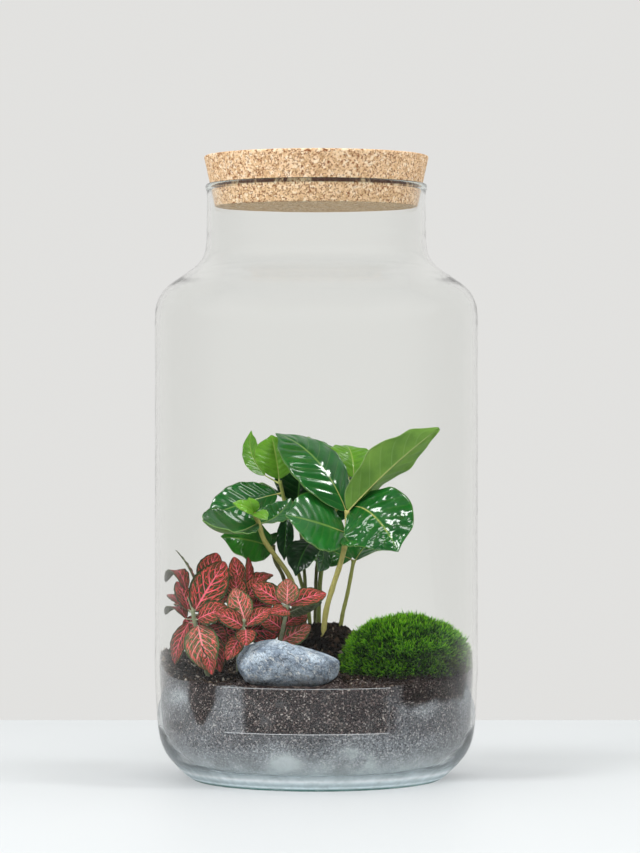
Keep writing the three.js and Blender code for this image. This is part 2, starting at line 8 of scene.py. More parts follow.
import bmesh
import bpy
import numpy as np
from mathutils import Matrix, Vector, noise


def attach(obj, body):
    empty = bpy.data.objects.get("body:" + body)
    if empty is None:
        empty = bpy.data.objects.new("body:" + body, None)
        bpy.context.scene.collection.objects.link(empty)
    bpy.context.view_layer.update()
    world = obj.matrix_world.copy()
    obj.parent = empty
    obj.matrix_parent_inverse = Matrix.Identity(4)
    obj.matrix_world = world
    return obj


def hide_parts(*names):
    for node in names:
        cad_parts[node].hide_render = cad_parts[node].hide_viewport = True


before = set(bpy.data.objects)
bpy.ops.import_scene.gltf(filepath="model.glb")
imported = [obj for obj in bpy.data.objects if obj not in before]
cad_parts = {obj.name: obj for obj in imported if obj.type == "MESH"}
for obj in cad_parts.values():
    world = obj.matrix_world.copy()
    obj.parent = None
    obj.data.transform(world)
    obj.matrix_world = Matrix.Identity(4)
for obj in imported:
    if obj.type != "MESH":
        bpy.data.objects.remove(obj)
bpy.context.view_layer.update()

MM = 0.001
SEED = 7
chance = np.random.default_rng(SEED)

# Camera, floor and light

CAMERA_PLACE = (0, -1897, 208)
LENS = 143.5
SENSOR_WIDTH = 36
CLIP_END = 50  # in metres
SHIFT = (0.0043, -0.0252)
TABLE_BACK = 348  # the table ends this far behind the jar
TABLE_REACH = 4000
WALL_TONE = (1.0, 0.995, 0.975)
WALL_LIGHT = 0.76
ROOM_LIGHT = 0.1  # what gloss mirrors in front of the jar, apart from the lamps
TABLE_TONES = ((0.625, 0.65, 0.665), (0.65, 0.675, 0.69))
# Name, place and size in metres, and watts
LAMPS = [
    ("key_left", (-1.3, -0.9, 1.5), (0.8, 0.6), 21),
    ("top_right", (0.95, -0.25, 1.45), (0.36, 0.42), 8),
    ("overhead", (0.1, -0.55, 1.7), (0.7, 0.4), 5.5),
    ("front", (0.3, -2.6, 1.95), (0.55, 0.4), 6),
]
LAMP_AIM = (0, 0, 0.13)

# The jar

RIM_TOP = 331
# Heights over which the glass turns to thick foot, painted foot light, painted wall light and mist, and thick
# rim
THICK_FOOT = (16, 3)
PAINTED_FOOT_LIGHT = (12.5, 5.5)
PAINTED_WALL_LIGHT_AND_MIST = (36, 8)
THICK_RIM = (RIM_TOP - 4, RIM_TOP - 0.5)
FOOT_BANDS = 14  # the pale and dark bands in the foot are placed as shares of this height
BODY_RADIUS = 90
BODY_WALL = 2.5
JAR_OUTSIDE = [
    (0, 1.5), (48, 1.5), (52, 0), (55, 0), (65, 0), (68.2, 0), (72.6, 2.7), (78.5, 8.2), (83.7, 14.5),
    (86.8, 21.7), (88.4, 31), (90, 60), (90, 72), (90, 248), (90, 256), (89.1, 264), (85, 272), (75, 279.8),
    (67, 285.6), (62.9, 291), (61.3, 299), (61.2, 306), (61.2, 327), (61.7, 328.2),
]
JAR_RIM = [(61.7, 330.1), (61.1, RIM_TOP), (60.3, RIM_TOP)]
JAR_INSIDE = [
    (59.7, 330.2), (59, 325), (59, 306), (58.8, 299), (60.8, 289.6), (65.4, 283.4), (73.5, 277.4),
    (82.8, 270.4), (86.6, 263), (87.5, 255), (87.5, 247), (87.5, 72), (87.5, 60), (86.3, 36), (85.2, 27),
    (82.3, 19.2), (77.2, 12.6), (69.5, 7.6), (60, 4.6), (0, 5),
]
# small and large are radii, and edge is how far the rims are rounded
CORK = {"bottom": 318.2, "top": 346.7, "small": 56.5, "large": 62.5, "edge": 0.8}
# left and right in degrees from the front, off the gap to the glass, edge the width of the pale edge
LABEL = {"bottom": 32.4, "top": 57, "left": -34, "right": 26, "off": 0.12, "thickness": 0.25, "edge": 0.45}
LINE_STEPS = 6
JAR_SIDES = 192
CORK_SIDES = 240

# What stands on the floor of the jar

SOIL_LEVEL = 59.5
SOIL_SLOPE = 0.03
# Banks of soil: how high, where, and how wide in square millimetres
SOIL_BANKS = [(11, -82, -2, 650), (6, 84, 0, 1250), (3, 4, 8, 1800)]
SOIL_FLOOR = 5.4
WALL_GAP = 0.25
SOIL_REACH = BODY_RADIUS - BODY_WALL - WALL_GAP
SOIL_SIDES = 300
SOIL_WALL_ROWS = 84
SOIL_TOP_ROWS = 92
SOIL_CRUMBS = 7000
ROOT_CRUMBS = 3800
MOSS_BLADES = 18000
BLADE_LENGTHS = (1.8, 4.9)
BLADE_HALF_WIDTHS = (0.3, 0.55)
MOUND_SIDES = 150
MOUND_ROWS = 44
# shrink is how far the bare mound lies below the model's, which leaves room for crumbs or blades on it
ROOT_PLUG = {
    "at": (4, 5), "radii": (27, 24), "base": 54, "top": 84.5, "round": 2.6, "bump": 1.3, "bump_size": 4.5,
    "shrink": 0.9,
}
MOSS = {
    "at": (49.5, -18), "radii": (37.5, 27), "base": 56.8, "top": 92, "round": 2.3, "bump": 0.6,
    "bump_size": 7, "shrink": 2.6,
}
MOSS_REACH = 86.9  # the moss is cut off here by the glass
STONE = {"at": (-15, -50, 67.5), "half": (28, 14.5, 13), "square": 2.6, "fall": 0.6}
# Flats that break the stone's roundness: the way each looks, and how far it lies from the middle
STONE_CHIPS = [
    ((-0.75, -0.5, 0.6), 20.5), ((0.1, -0.75, 0.6), 14.2), ((0.55, -0.35, 0.8), 16.5),
    ((-0.25, -0.3, 1), 13.8), ((0.8, -0.5, -0.1), 23.5), ((-0.9, -0.2, -0.4), 25), ((0.3, 0.6, 0.8), 13.5),
]

# Where the mist is thickest: degrees from the front, and height
MIST_PATCHES = ((-15, 22), (-11, 16), (13, 22), (17, 17), (42, 44), (-58, 50), (66, 50))
# Degrees from the front over which the shaded soil before the moss comes and goes
SHADED_SIDE = ((26, 34), (62, 74))
SHADED_RADII = (48, 60)
SOIL_SHADE = 0.42

# Leaves

# What a leaf of the tables is, when its row says nothing else
FLAT_LEAF = {"side": 0, "skew": 1, "fold": 12, "cup": 0, "wave": 0, "waves": 3, "twist": 0, "quilt": 1,
             "crinkle": 0}


def leaf(base, tip, face, wide, arch=0.1, light=0.3, **bends):
    """light is how pale and backlit the leaf looks, from 0 to 1. The rest is as in the model."""
    row = {"base": base, "tip": tip, "face": face, "wide": wide, "arch": arch, "light": light}
    return SimpleNamespace(**{**FLAT_LEAF, **row, **bends})


def plant(radius, hue, stem, *leaves):
    """hue is the tone of the stem, from 0 to 1."""
    return SimpleNamespace(radius=radius, hue=hue, stem=stem, leaves=leaves)


COFFEE_SEEDLINGS = {
    "coffee_seedling_1": plant(1.5, 0.75, [(3, -8, 70), (5.5, -8, 94), (9.5, -7, 108), (14, -6, 122),
        (17, -6, 137), (17, -6, 149.5)],
        leaf((16.5, -5, 149), (-23, 20, 192), (0.4, -0.72, 0.56), 36, 0.16, 0.32, fold=-14, quilt=1.3),
        leaf((17.5, -6, 149), (68, -12, 195.5),
             (-0.35, 0.62, 0.7), 30, 0.03, 0.78, fold=24, cup=0.1, wave=1.4, waves=2.5, twist=14),
        leaf((18.4, -1, 150), (45, -30, 127.5),
             (0.05, -0.95, 0.3), 42, fold=4, side=-0.11, skew=0.7, wave=1, crinkle=1),
        leaf((16, -8, 137), (-17, -26, 147.5), (0, -0.75, 0.66), 42, 0.03, 0.35, fold=6, quilt=0.3),
        leaf((16.5, -8, 136), (30.5, -24, 131.5), (0, -0.8, 0.6), 21, 0.15, 0.4, fold=4)),
    "coffee_seedling_2": plant(1.15, 0.5, [(12, 5, 72), (14.5, 5, 90), (17.5, 5, 103), (21, 5.5, 121.5)],
        leaf((19.5, 9, 121.5), (-4, 37, 131), (0, -0.95, 0.3), 21, 0, 0.45, fold=2, wave=0.3),
        leaf((22, 7, 121), (42, 40, 128), (0.1, -0.2, 1), 30, 0.2, 0.35, wave=1)),
    "coffee_seedling_3": plant(1.3, 0.4, [(1, 16, 72), (1.5, 16, 98), (2.6, 16, 113.5), (6.6, 17, 137.7),
        (13.3, 18, 154.5), (19, 19, 165)],
        leaf((21, 19, 167), (17, 38, 185), (0.3, -0.85, 0.4), 27, 0.15, 0.95),
        leaf((18, 17, 167), (9, 24, 184), (-0.5, 0.6, 0.5), 17, 0.1, 0.5),
        leaf((16, 24, 168), (-8, 40, 190), (0.4, -0.05, 0.9), 22, 0.12, 0.6),
        leaf((21, 22, 164), (46, 42, 174), (0.1, 0.2, 1), 32, 0.14, 0.5, wave=1),
        leaf((8, 18, 141), (14, 28, 159), (0, -0.9, 0.4), 18, 0.02, 0.15)),
    "coffee_seedling_4": plant(0.95, 0.2, [(-7, 8, 72), (-6, 9, 100), (-7, 12, 118), (-9, 22, 138),
        (-11, 30, 150)],
        leaf((-12, 32, 151), (-42, 58, 152), (-0.2, 0.4, 0.9), 32, 0.18, 0.35, wave=1),
        leaf((-11, 33, 150), (-9, 47, 176), (0.1, -0.95, 0.25), 29, 0.06, 0.12, wave=0.8),
        leaf((-10, 26, 139), (-46, 42, 135), (-0.1, 0.1, 1), 30, 0.18, wave=1)),
    "coffee_seedling_5": plant(1.4, 0.7, [(-9, 0, 70), (-11, -1, 95), (-14, -3, 110.5), (-29, -12, 133.5),
        (-31.8, -15, 142.5), (-34.5, -18, 148.5)],
        leaf((-32.5, -16, 142.5), (-61.5, -42, 145),
             (0.1, -0.36, 0.93), 38, -0.17, 0.27, fold=22, cup=0.12, quilt=0.35),
        leaf((-31, -15, 142.5), (-14, -2, 156), (-0.3, -0.6, 0.75), 22, -0.14, fold=16),
        leaf((-34.5, -18.5, 148), (-46, -23, 154), (0.2, -0.8, 0.6), 8, 0.15, 1),
        leaf((-35, -17.5, 148.5), (-37, -19, 157), (0, -0.9, 0.4), 9, 0.15, 0.95),
        leaf((-34, -19, 148), (-27, -25, 144.5), (0.3, -0.7, 0.6), 9, 0.15, 0.9)),
    "coffee_seedling_6": plant(1.1, 0.1, [(-14, 4, 70), (-16, 5, 95), (-18.5, 6, 111.7), (-23.5, 8, 121.7),
        (-24, 7, 129.5)],
        leaf((-25, 5, 128.5), (-53, -12, 135), (0, -0.92, 0.4), 26, 0.08, 0.56, wave=0.8),
        leaf((-25, 9, 129), (-44, 34, 126), (-0.1, 0.1, 1), 26, 0.16, wave=0.8)),
    "coffee_seedling_7": plant(1.1, 0.45, [(-2.4, 12, 72), (-5, 12, 96), (-9, 13, 110), (-15, 12, 132),
        (-17.6, 10, 152), (-20.5, 9, 165.5)],
        leaf((-22, 12.5, 158), (-63, 6.5, 144.5), (-0.05, -0.8, 0.6), 28, 0.04, fold=6),
        leaf((-21, 12, 166.5), (-25.5, 22, 191), (0.2, -1, 0.3), 26, 0.08, 0.9),
        leaf((-29, 16, 168.5), (-37, 35, 193.5), (-0.45, -0.85, 0.2), 11.5, 0.05, 0.88, side=-0.1),
        leaf((-16.5, 11, 146), (-18, 4, 121), (-0.2, -0.95, 0.2), 10, 0.02, 0.12)),
    "coffee_seedling_8": plant(1, 0.15, [(-0.7, 20, 72), (-0.5, 19, 98), (0, 16, 114), (2, 13, 129.5)],
        leaf((-1.5, 10, 132), (-11.5, -9, 113), (-0.3, -0.9, 0.3), 19, 0.15, 0.08),
        leaf((3.5, 10, 129), (1, 1, 115), (0.8, -0.5, 0.2), 14, 0.1, 0.25)),
}

NERVE_PLANTS = {
    "fittonia_plant_1": plant(1.2, 0.3, [(-58, -32, 52), (-62, -36, 74), (-66, -38, 90), (-67, -39, 96)],
        leaf((-65.5, -38, 96), (-50, -30, 122), (0, -1, 0.2), 20, 0.06),
        leaf((-69, -36, 95), (-76, -28, 111), (0.6, -0.75, 0.1), 12, 0.05),
        leaf((-64, -40, 87.5), (-58, -49, 63.5), (-0.1, -0.95, 0.3), 19, 0.1, 1.0),
        leaf((-69, -36, 89), (-77, -27, 65.5), (-0.5, -0.85, 0.1), 10),
        leaf((-71, -30, 106), (-83, -15, 110), (0.2, -0.3, 0.9), 10, 0.45),
        leaf((-66, -30, 110), (-77, -22, 128), (0.7, 0.1, 0.7), 9, 0.05),
        leaf((-62, -26, 109), (-55, -13, 126), (0, -0.9, 0.4), 14, 0.05),
        leaf((-71, -32, 91), (-83, -15, 92), (0.2, -0.3, 0.9), 9, 0.25),
        leaf((-73, -33, 98), (-81, -24, 103.5), (0.2, -0.5, 0.8), 7),
        leaf((-64, -40, 91), (-47, -44, 97), (0, -0.8, 0.6), 15, 0.08),
        leaf((-62, -37, 84), (-52, -46, 62.5), (0.5, -0.8, 0.2), 14, 0.12),
        leaf((-63, -36, 94), (-48, -29, 103), (0, -0.5, 0.85), 13),
        leaf((-60, -42, 73), (-56, -57, 62), (0.2, -0.9, 0.4), 9),
        leaf((-60, -34, 86), (-49, -30, 78), (0, -0.9, 0.3), 12)),
    "fittonia_plant_2": plant(1.1, 0.6, [(-42, -30, 52), (-42.5, -37, 72), (-40.5, -45, 82),
        (-39, -50, 91.5)],
        leaf((-38.7, -49, 91), (-44.5, -42, 108), (0, -0.85, 0.5), 14, 0.06, 0.9),
        leaf((-40, -51, 88), (-54.5, -57, 95.5), (0.1, -0.8, 0.6), 13, 0.08),
        leaf((-37.5, -50.5, 88), (-24.5, -43, 97), (-0.1, -0.7, 0.7), 12, 0.08),
        leaf((-38, -53, 86), (-37.5, -61, 78), (0, -0.85, 0.5), 12),
        leaf((-41, -48, 82), (-48, -58, 70), (0, -0.9, 0.3), 10)),
    "fittonia_plant_3": plant(1.1, 0.5, [(-22, -20, 52), (-20, -27, 76), (-16.5, -36, 94),
        (-16, -38, 98.5)],
        leaf((-16, -38, 99), (-15.5, -35, 113), (0, -0.95, 0.2), 13.5, 0.05, 1),
        leaf((-19, -37, 99.5), (-35, -31, 109.5), (0, -0.9, 0.5), 13, 0.06),
        leaf((-14.5, -37.5, 98.5), (5.3, -28, 104.5), (0.1, -0.6, 0.75), 15, 0.06),
        leaf((-14, -35, 95), (3, -21, 99), (0, 0.85, 0.5), 15, 0.05),
        leaf((-15, -41, 95), (-24.5, -49, 94.5), (0, -0.7, 0.7), 11),
        leaf((-20.5, -28, 77), (-3, -26, 86.5), (0, -0.85, 0.5), 15, 0.08, 0.8),
        leaf((-19, -29, 85), (-31, -24, 92), (0, -0.85, 0.5), 13),
        leaf((-17.5, -30, 87), (-6, -18, 93), (0, -0.8, 0.5), 13)),
    "fittonia_plant_4": plant(1.1, 0.4, [(-42, -14, 52), (-42, -19, 80), (-41, -25.5, 100),
        (-40, -27, 107.5)],
        leaf((-41.5, -25, 107), (-45.5, -17, 124), (0, -0.9, 0.3), 10, 0.05),
        leaf((-38.2, -25, 106), (-37.7, -18, 124), (0.8, -0.5, 0.2), 9, 0.05),
        leaf((-43, -29.5, 100), (-44.5, -28, 115), (0, -0.9, 0.4), 12, 0.05),
        leaf((-37.5, -29, 102), (-31.5, -26, 113.5), (0.2, -0.9, 0.4), 10, 0.05),
        leaf((-37, -22, 104), (-24, -15, 114), (0, -0.3, 0.9), 14, 0.2),
        leaf((-41, -17, 83), (-20, -9, 82), (0, -0.95, 0.3), 16, 0.05, 0.15),
        leaf((-44, -24, 98), (-51, -20, 113), (0, -0.9, 0.4), 13, 0.05, 0.9),
        leaf((-39.5, -21.5, 95.5), (-24.5, -14.5, 98.5), (0, -0.9, 0.4), 14.5, 0.06, 0.2)),
    "fittonia_plant_5": plant(1.1, 0.4, [(-58, -6, 54), (-59, -8, 76), (-61, -9, 93)],
        leaf((-63, -9, 93), (-79, 4, 97), (-0.3, -0.2, 0.9), 16, 0.15),
        leaf((-60, -7, 93), (-46, 5, 99), (0.1, 0.1, 1), 16, 0.15),
        leaf((-62, -6, 92), (-64, 14, 96), (0, 0.3, 1), 16, 0.15),
        leaf((-60, -12, 94), (-52, -18, 104), (0.1, -0.4, 0.9), 13),
        leaf((-59, -8, 79), (-42, -3, 84), (0, -0.95, 0.3), 17, 0.06, 0.15),
        leaf((-60, -8, 81), (-74, 2, 88), (0, -0.9, 0.4), 15, 0.06, 0.15)),
}

# Shapes


def unit(vector):
    return vector / np.maximum(np.linalg.norm(vector, axis=-1, keepdims=True), 1e-12)


def smoothstep(value, low, high):
    share = np.clip((value - low) / (high - low), 0, 1)
    return share * share * (3 - 2 * share)


def between(value, rise, fall):
    """1 in a range and 0 outside it. It rises over the first pair of values and falls over the second."""
    return smoothstep(value, *rise) * smoothstep(value, *fall[::-1])


def smooth_line(points, steps):
    """A line through the points, bent smoothly, with that many steps between two of them."""
    points = np.asarray(points, float)
    ends = np.vstack([2 * points[0] - points[1], points, 2 * points[-1] - points[-2]])
    knots = np.concatenate([[0], np.cumsum(np.linalg.norm(np.diff(ends, axis=0), axis=1) ** 0.5)])
    line = []
    for i in range(len(points) - 1):
        k0, k1, k2, k3 = knots[i:i + 4]
        p0, p1, p2, p3 = ends[i:i + 4]
        k = np.linspace(k1, k2, steps, endpoint=False)[:, None]
        a = ((k1 - k) * p0 + (k - k0) * p1) / (k1 - k0)
        b = ((k2 - k) * p1 + (k - k1) * p2) / (k2 - k1)
        c = ((k3 - k) * p2 + (k - k2) * p3) / (k3 - k2)
        d = ((k2 - k) * a + (k - k0) * b) / (k2 - k0)
        e = ((k3 - k) * b + (k - k1) * c) / (k3 - k1)
        line.append(((k2 - k) * d + (k - k1) * e) / (k2 - k1))
    line.append(points[-1:])
    return np.vstack(line)


def unevenness(x, y, z, size):
    """An uneven value between -1 and 1 that changes over about one size, as in the model."""
    slow = np.sin(x / size + 1.7 * np.sin(y / size + 0.4)) * np.cos(z / size + 0.9)
    quick = np.sin((2.3 * y) / size + 1.1) * np.cos((1.9 * x) / size + (1.3 * z) / size)
    return 0.6 * slow + 0.4 * quick


def roughness_at(points, size, octaves=4):
    """Fractal noise, about -1 to 1, at each point."""
    return np.array([noise.fractal(Vector(point) / size, 0.9, 2.1, octaves) for point in points])


def round_points(radius, angle, height):
    """Points at an angle and a radius about the jar's axis."""
    return np.stack(np.broadcast_arrays(radius * np.cos(angle), radius * np.sin(angle), height), -1)


def keep_within(points, reach):
    """Draws the points that lie further from the jar's axis than reach back to it."""
    far = np.hypot(points[..., 0], points[..., 1])
    points[..., :2] *= np.minimum(1, reach / np.maximum(far, 1e-9))[..., None]


def looks(*values):
    """Three arrays or numbers as one look for each point."""
    return np.stack(np.broadcast_arrays(*values), -1).reshape(-1, 3)


def grid_faces(rows, columns, ring=False, flip=False):
    """Faces of a grid of points. With ring, the last column meets the first."""
    faces = []
    for row in range(rows - 1):
        for column in range(columns if ring else columns - 1):
            beside = (column + 1) % columns
            face = [row * columns + column, row * columns + beside,
                    (row + 1) * columns + beside, (row + 1) * columns + column]
            faces.append(face[::-1] if flip else face)
    return faces


def link(name, data):
    made = bpy.data.objects.new(name, data)
    bpy.context.scene.collection.objects.link(made)
    return made


class Shape:
    """Collects the points and faces of one piece, with the values that its material reads."""

    def __init__(self):
        self.points = []
        self.faces = []
        self.looks = []
        self.slots = []
        self.count = 0

    def add(self, points, faces, look=(0, 0, 0), slot=0):
        """look is three values a point, and slot the material of the faces."""
        points = np.asarray(points, float).reshape(-1, 3)
        self.points.append(points)
        self.looks.append(np.broadcast_to(np.asarray(look, float), (len(points), 3)))
        self.faces.extend([[corner + self.count for corner in face] for face in faces])
        self.slots.extend([slot] * len(faces))
        self.count += len(points)

    def piece(self, node, materials, finish):
        """The object that takes the place of a node of the model."""
        mesh = bpy.data.meshes.new(node + "_look")
        points = np.vstack(self.points) * MM
        mesh.from_pydata(points.tolist(), [], self.faces)
        for material in materials:
            mesh.materials.append(material)
        mesh.polygons.foreach_set("material_index", self.slots)
        mesh.polygons.foreach_set("use_smooth", [True] * len(self.faces))
        look = mesh.attributes.new("look", "FLOAT_VECTOR", "POINT")
        look.data.foreach_set("vector", np.vstack(self.looks).ravel())
        mesh.update()
        made = link(node + "_look", mesh)
        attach(made, "root")
        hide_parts(node)
        return made


def turned(outline, sides):
    """Turns an outline of (radius, height) points about the upright axis. Its ends may lie on the axis."""
    outline = np.asarray(outline, float)
    angle = np.linspace(0, 2 * np.pi, sides, endpoint=False)
    points = round_points(np.maximum(outline[:, :1], 0.001), angle, outline[:, 1:])
    return points, grid_faces(len(outline), sides, ring=True)


def tube(path, radii, sides):
    """A round rod along a path, closed at both ends."""
    path = np.asarray(path, float)
    along = unit(np.gradient(path, axis=0))
    side = np.cross(along[0], (0.31, 0.53, 0.79))
    frames = []
    for direction in along:
        side = unit(side - direction * side.dot(direction))
        frames.append(side)
    side = np.array(frames)[:, None]
    up = np.cross(along, side[:, 0])[:, None]
    angle = np.linspace(0, 2 * np.pi, sides, endpoint=False)[None, :, None]
    ring = np.cos(angle) * side + np.sin(angle) * up
    points = path[:, None] + np.asarray(radii, float)[:, None, None] * ring
    faces = grid_faces(len(path), sides, ring=True)
    last = (len(path) - 1) * sides
    faces.append(list(range(sides))[::-1])
    faces.append(list(range(last, last + sides)))
    return points.reshape(-1, 3), faces


OCTAHEDRON = np.array([(1, 0, 0), (-1, 0, 0), (0, 1, 0), (0, -1, 0), (0, 0, 1), (0, 0, -1)], float)
OCTAHEDRON_FACES = [(0, 2, 4), (2, 1, 4), (1, 3, 4), (3, 0, 4), (2, 0, 5), (1, 2, 5), (3, 1, 5), (0, 3, 5)]


def add_crumbs(shape, places, sizes, tones, reach=None):
    """Small uneven grains at the places. reach keeps them inside the glass."""
    for place, size, tone in zip(places, sizes, tones):
        grain = OCTAHEDRON * size * chance.uniform(0.55, 1.25, 3)
        grain += chance.normal(0, 0.18 * size, grain.shape)
        turn = chance.uniform(0, 2 * np.pi)
        x = grain[:, 0] * math.cos(turn) - grain[:, 1] * math.sin(turn)
        grain[:, 1] = grain[:, 0] * math.sin(turn) + grain[:, 1] * math.cos(turn)
        grain[:, 0] = x
        points = place + grain
        if reach:
            keep_within(points, reach)
        shape.add(points, OCTAHEDRON_FACES, (tone, 0, 1))


# Materials


class Nodes:
    """Fills a node tree. A socket takes a value or another node's output."""

    def __init__(self, owner):
        owner.use_nodes = True
        self.tree = owner.node_tree
        self.tree.nodes.clear()

    def node(self, kind, inputs=None, **settings):
        made = self.tree.nodes.new(kind)
        for name, value in settings.items():
            setattr(made, name, value)
        for socket, value in (inputs or {}).items():
            self.put(made.inputs[socket], value)
        return made

    def put(self, socket, value):
        if isinstance(value, bpy.types.NodeSocket):
            self.tree.links.new(value, socket)
        else:
            socket.default_value = value

    def math(self, operation, *values):
        made = self.node("ShaderNodeMath", operation=operation)
        for socket, value in zip(made.inputs, values):
            self.put(socket, value)
        return made.outputs[0]

    def times(self, first, second):
        return self.math("MULTIPLY", first, second)

    def mix(self, share, first, second):
        return self.node("ShaderNodeMixShader", {0: share, 1: first, 2: second}).outputs[0]

    def split(self, vector):
        return self.node("ShaderNodeSeparateXYZ", {"Vector": vector}).outputs


class Finish(Nodes):
    """Builds the nodes of one material. Sizes are in millimetres."""

    def __init__(self, name):
        self.material = bpy.data.materials.new(name)
        super().__init__(self.material)

    def step(self, value, low, high):
        """0 below low, 1 above high, and smooth between."""
        inputs = {"Value": value, "From Min": low, "From Max": high}
        return self.node("ShaderNodeMapRange", inputs, interpolation_type="SMOOTHSTEP").outputs["Result"]

    def above(self, low, high):
        """0 below the height low, 1 above the height high, and smooth between."""
        return self.step(self.split(self.place())[2], low * MM, high * MM)

    def place(self):
        return self.node("ShaderNodeTexCoord").outputs["Object"]

    def bent(self, vector, scale, reach):
        """The vector, pushed about by up to reach over the blobs of a noise."""
        blur = self.node("ShaderNodeTexNoise", {"Vector": vector, "Scale": scale}).outputs["Color"]
        return self.node(
            "ShaderNodeVectorMath", {0: blur, 1: reach, 2: vector}, operation="MULTIPLY_ADD").outputs[0]

    def bent_place(self, size, reach):
        return self.bent(self.place(), 1 / (size * MM), [reach * MM] * 3)

    def look(self):
        """The three values that Shape stored with each point."""
        return self.split(self.node("ShaderNodeAttribute", attribute_name="look").outputs["Vector"])

    def noise(self, size, detail=3, roughness=0.55, vector=None, distortion=0):
        """Noise whose blobs are about as wide as size."""
        inputs = {"Scale": 1 / (size * MM), "Vector": vector or self.place(), "Detail": detail,
                  "Roughness": roughness, "Distortion": distortion}
        return self.node("ShaderNodeTexNoise", inputs).outputs["Fac"]

    def cells(self, size, feature="F1", output="Distance", vector=None):
        inputs = {"Scale": 1 / (size * MM), "Vector": vector or self.place()}
        return self.node("ShaderNodeTexVoronoi", inputs, feature=feature).outputs[output]

    def ramp(self, value, stops):
        made = self.node("ShaderNodeValToRGB", {"Fac": value})
        ramp = made.color_ramp
        while len(ramp.elements) < len(stops):
            ramp.elements.new(1)
        for element, (position, color) in zip(ramp.elements, stops):
            element.position = position
            element.color = (*color, 1)
        return made.outputs["Color"]

    def mottled(self, noise, first, second):
        return self.ramp(noise, [(0.35, first), (0.65, second)])

    def color(self, value):
        return value if isinstance(value, bpy.types.NodeSocket) else (*value, 1)

    def blend(self, share, first, second, how="MIX"):
        made = self.node("ShaderNodeMix", data_type="RGBA", blend_type=how)
        for socket, value in ((0, share), (6, self.color(first)), (7, self.color(second))):
            self.put(made.inputs[socket], value)
        return made.outputs[2]

    def bump(self, height, distance, strength):
        inputs = {"Height": height, "Distance": distance * MM, "Strength": strength}
        return self.node("ShaderNodeBump", inputs).outputs["Normal"]

    def principled(self, color, roughness, specular=0.5, **inputs):
        named = {name.replace("_", " "): value for name, value in inputs.items()}
        named.update({"Base Color": self.color(color), "Roughness": roughness})
        named["Specular IOR Level"] = specular
        return self.node("ShaderNodeBsdfPrincipled", named).outputs[0]

    def finish(self, shader):
        self.node("ShaderNodeOutputMaterial", {"Surface": shader})
        return self.material

    def finish_leaf(self, share, surface, color):
        """A leaf that passes a share of the light on, in its own colour."""
        glow = self.node("ShaderNodeBsdfTranslucent", {"Color": color}).outputs[0]
        return self.finish(self.mix(share, surface, glow))


def lets_light_through(finish, glass, color):
    """Glass that the lamps shine through, so that what stands inside is lit and its gloss shows."""
    path = finish.node("ShaderNodeLightPath").outputs
    gloss = finish.math("SUBTRACT", path["Is Glossy Ray"], path["Is Singular Ray"])
    lit = finish.math("MAXIMUM", finish.math("MAXIMUM", path["Is Shadow Ray"], path["Is Diffuse Ray"]), gloss)
    clear = finish.node("ShaderNodeBsdfTransparent", {"Color": (*color, 1)}).outputs[0]
    return finish.mix(lit, glass, clear)


def glass_material():
    """Clear glass, greenish in the thick foot, where painted bands of pale and dark light follow the height.
    """
    finish = Finish("clear_glass")
    rim = finish.times(finish.above(*THICK_RIM), 0.8)
    thick = finish.math("MAXIMUM", finish.above(*THICK_FOOT), rim)
    color = finish.blend(thick, (0.985, 0.99, 0.98), (0.74, 0.90, 0.87))
    normal = finish.bump(finish.noise(26, 2), 0.5, 0.08)
    glass = finish.principled(
        color, 0.0, IOR=1.48, Transmission_Weight=1.0, Normal=normal, Specular_Tint=(0.25, 0.25, 0.25, 1))
    height = finish.split(finish.place())[2]
    # Painted light and shade of the thick foot: dark bands at the bottom, and pale and bright lines above
    # them as painted reflections
    tone = finish.ramp(finish.times(height, 1 / (FOOT_BANDS * MM)), [
        (0.02, (0.05, 0.14, 0.12)), (0.08, (0.10, 0.24, 0.22)), (0.12, (0.62, 0.74, 0.77)),
        (0.16, (0.80, 0.90, 0.95)), (0.21, (0.46, 0.56, 0.59)), (0.27, (0.46, 0.55, 0.59)),
        (0.35, (0.66, 0.75, 0.78)), (0.42, (0.84, 0.88, 0.91)), (0.52, (0.56, 0.63, 0.66)),
        (1.0, (0.46, 0.52, 0.55))])
    # A pale layer over the foot that carries these bands: painted light in place of what the thick glass
    # gathers
    painted_foot = finish.principled(tone, 0.5, 0.2)
    patches = finish.step(finish.noise(12, 3), 0.3, 0.7)
    # Thinly it reaches up the wall's lowest part: painted light there, partly the glass's own mist
    low = finish.times(finish.above(*PAINTED_FOOT_LIGHT), 0.97)
    thin = finish.times(finish.above(*PAINTED_WALL_LIGHT_AND_MIST), 0.17)
    share = finish.math("ADD", 0.65, finish.times(patches, 0.5))
    share = finish.times(finish.math("MAXIMUM", low, thin), share)
    glass = finish.mix(share, glass, painted_foot)
    return finish.finish(lets_light_through(finish, glass, (0.99, 0.993, 0.992)))


def film_material():
    """look.x is 1 on the film's edges."""
    finish = Finish("clear_film")
    edge = finish.look()[0]
    dust = finish.step(finish.noise(9, 4), 0.52, 0.75)
    share = finish.math("ADD", finish.times(edge, 0.5), finish.times(dust, 0.03))
    share = finish.math("ADD", share, 0.015)
    film = finish.principled((0.85, 0.88, 0.9), 0.28)
    clear = finish.node("ShaderNodeBsdfTransparent").outputs[0]
    return finish.finish(finish.mix(share, clear, film))


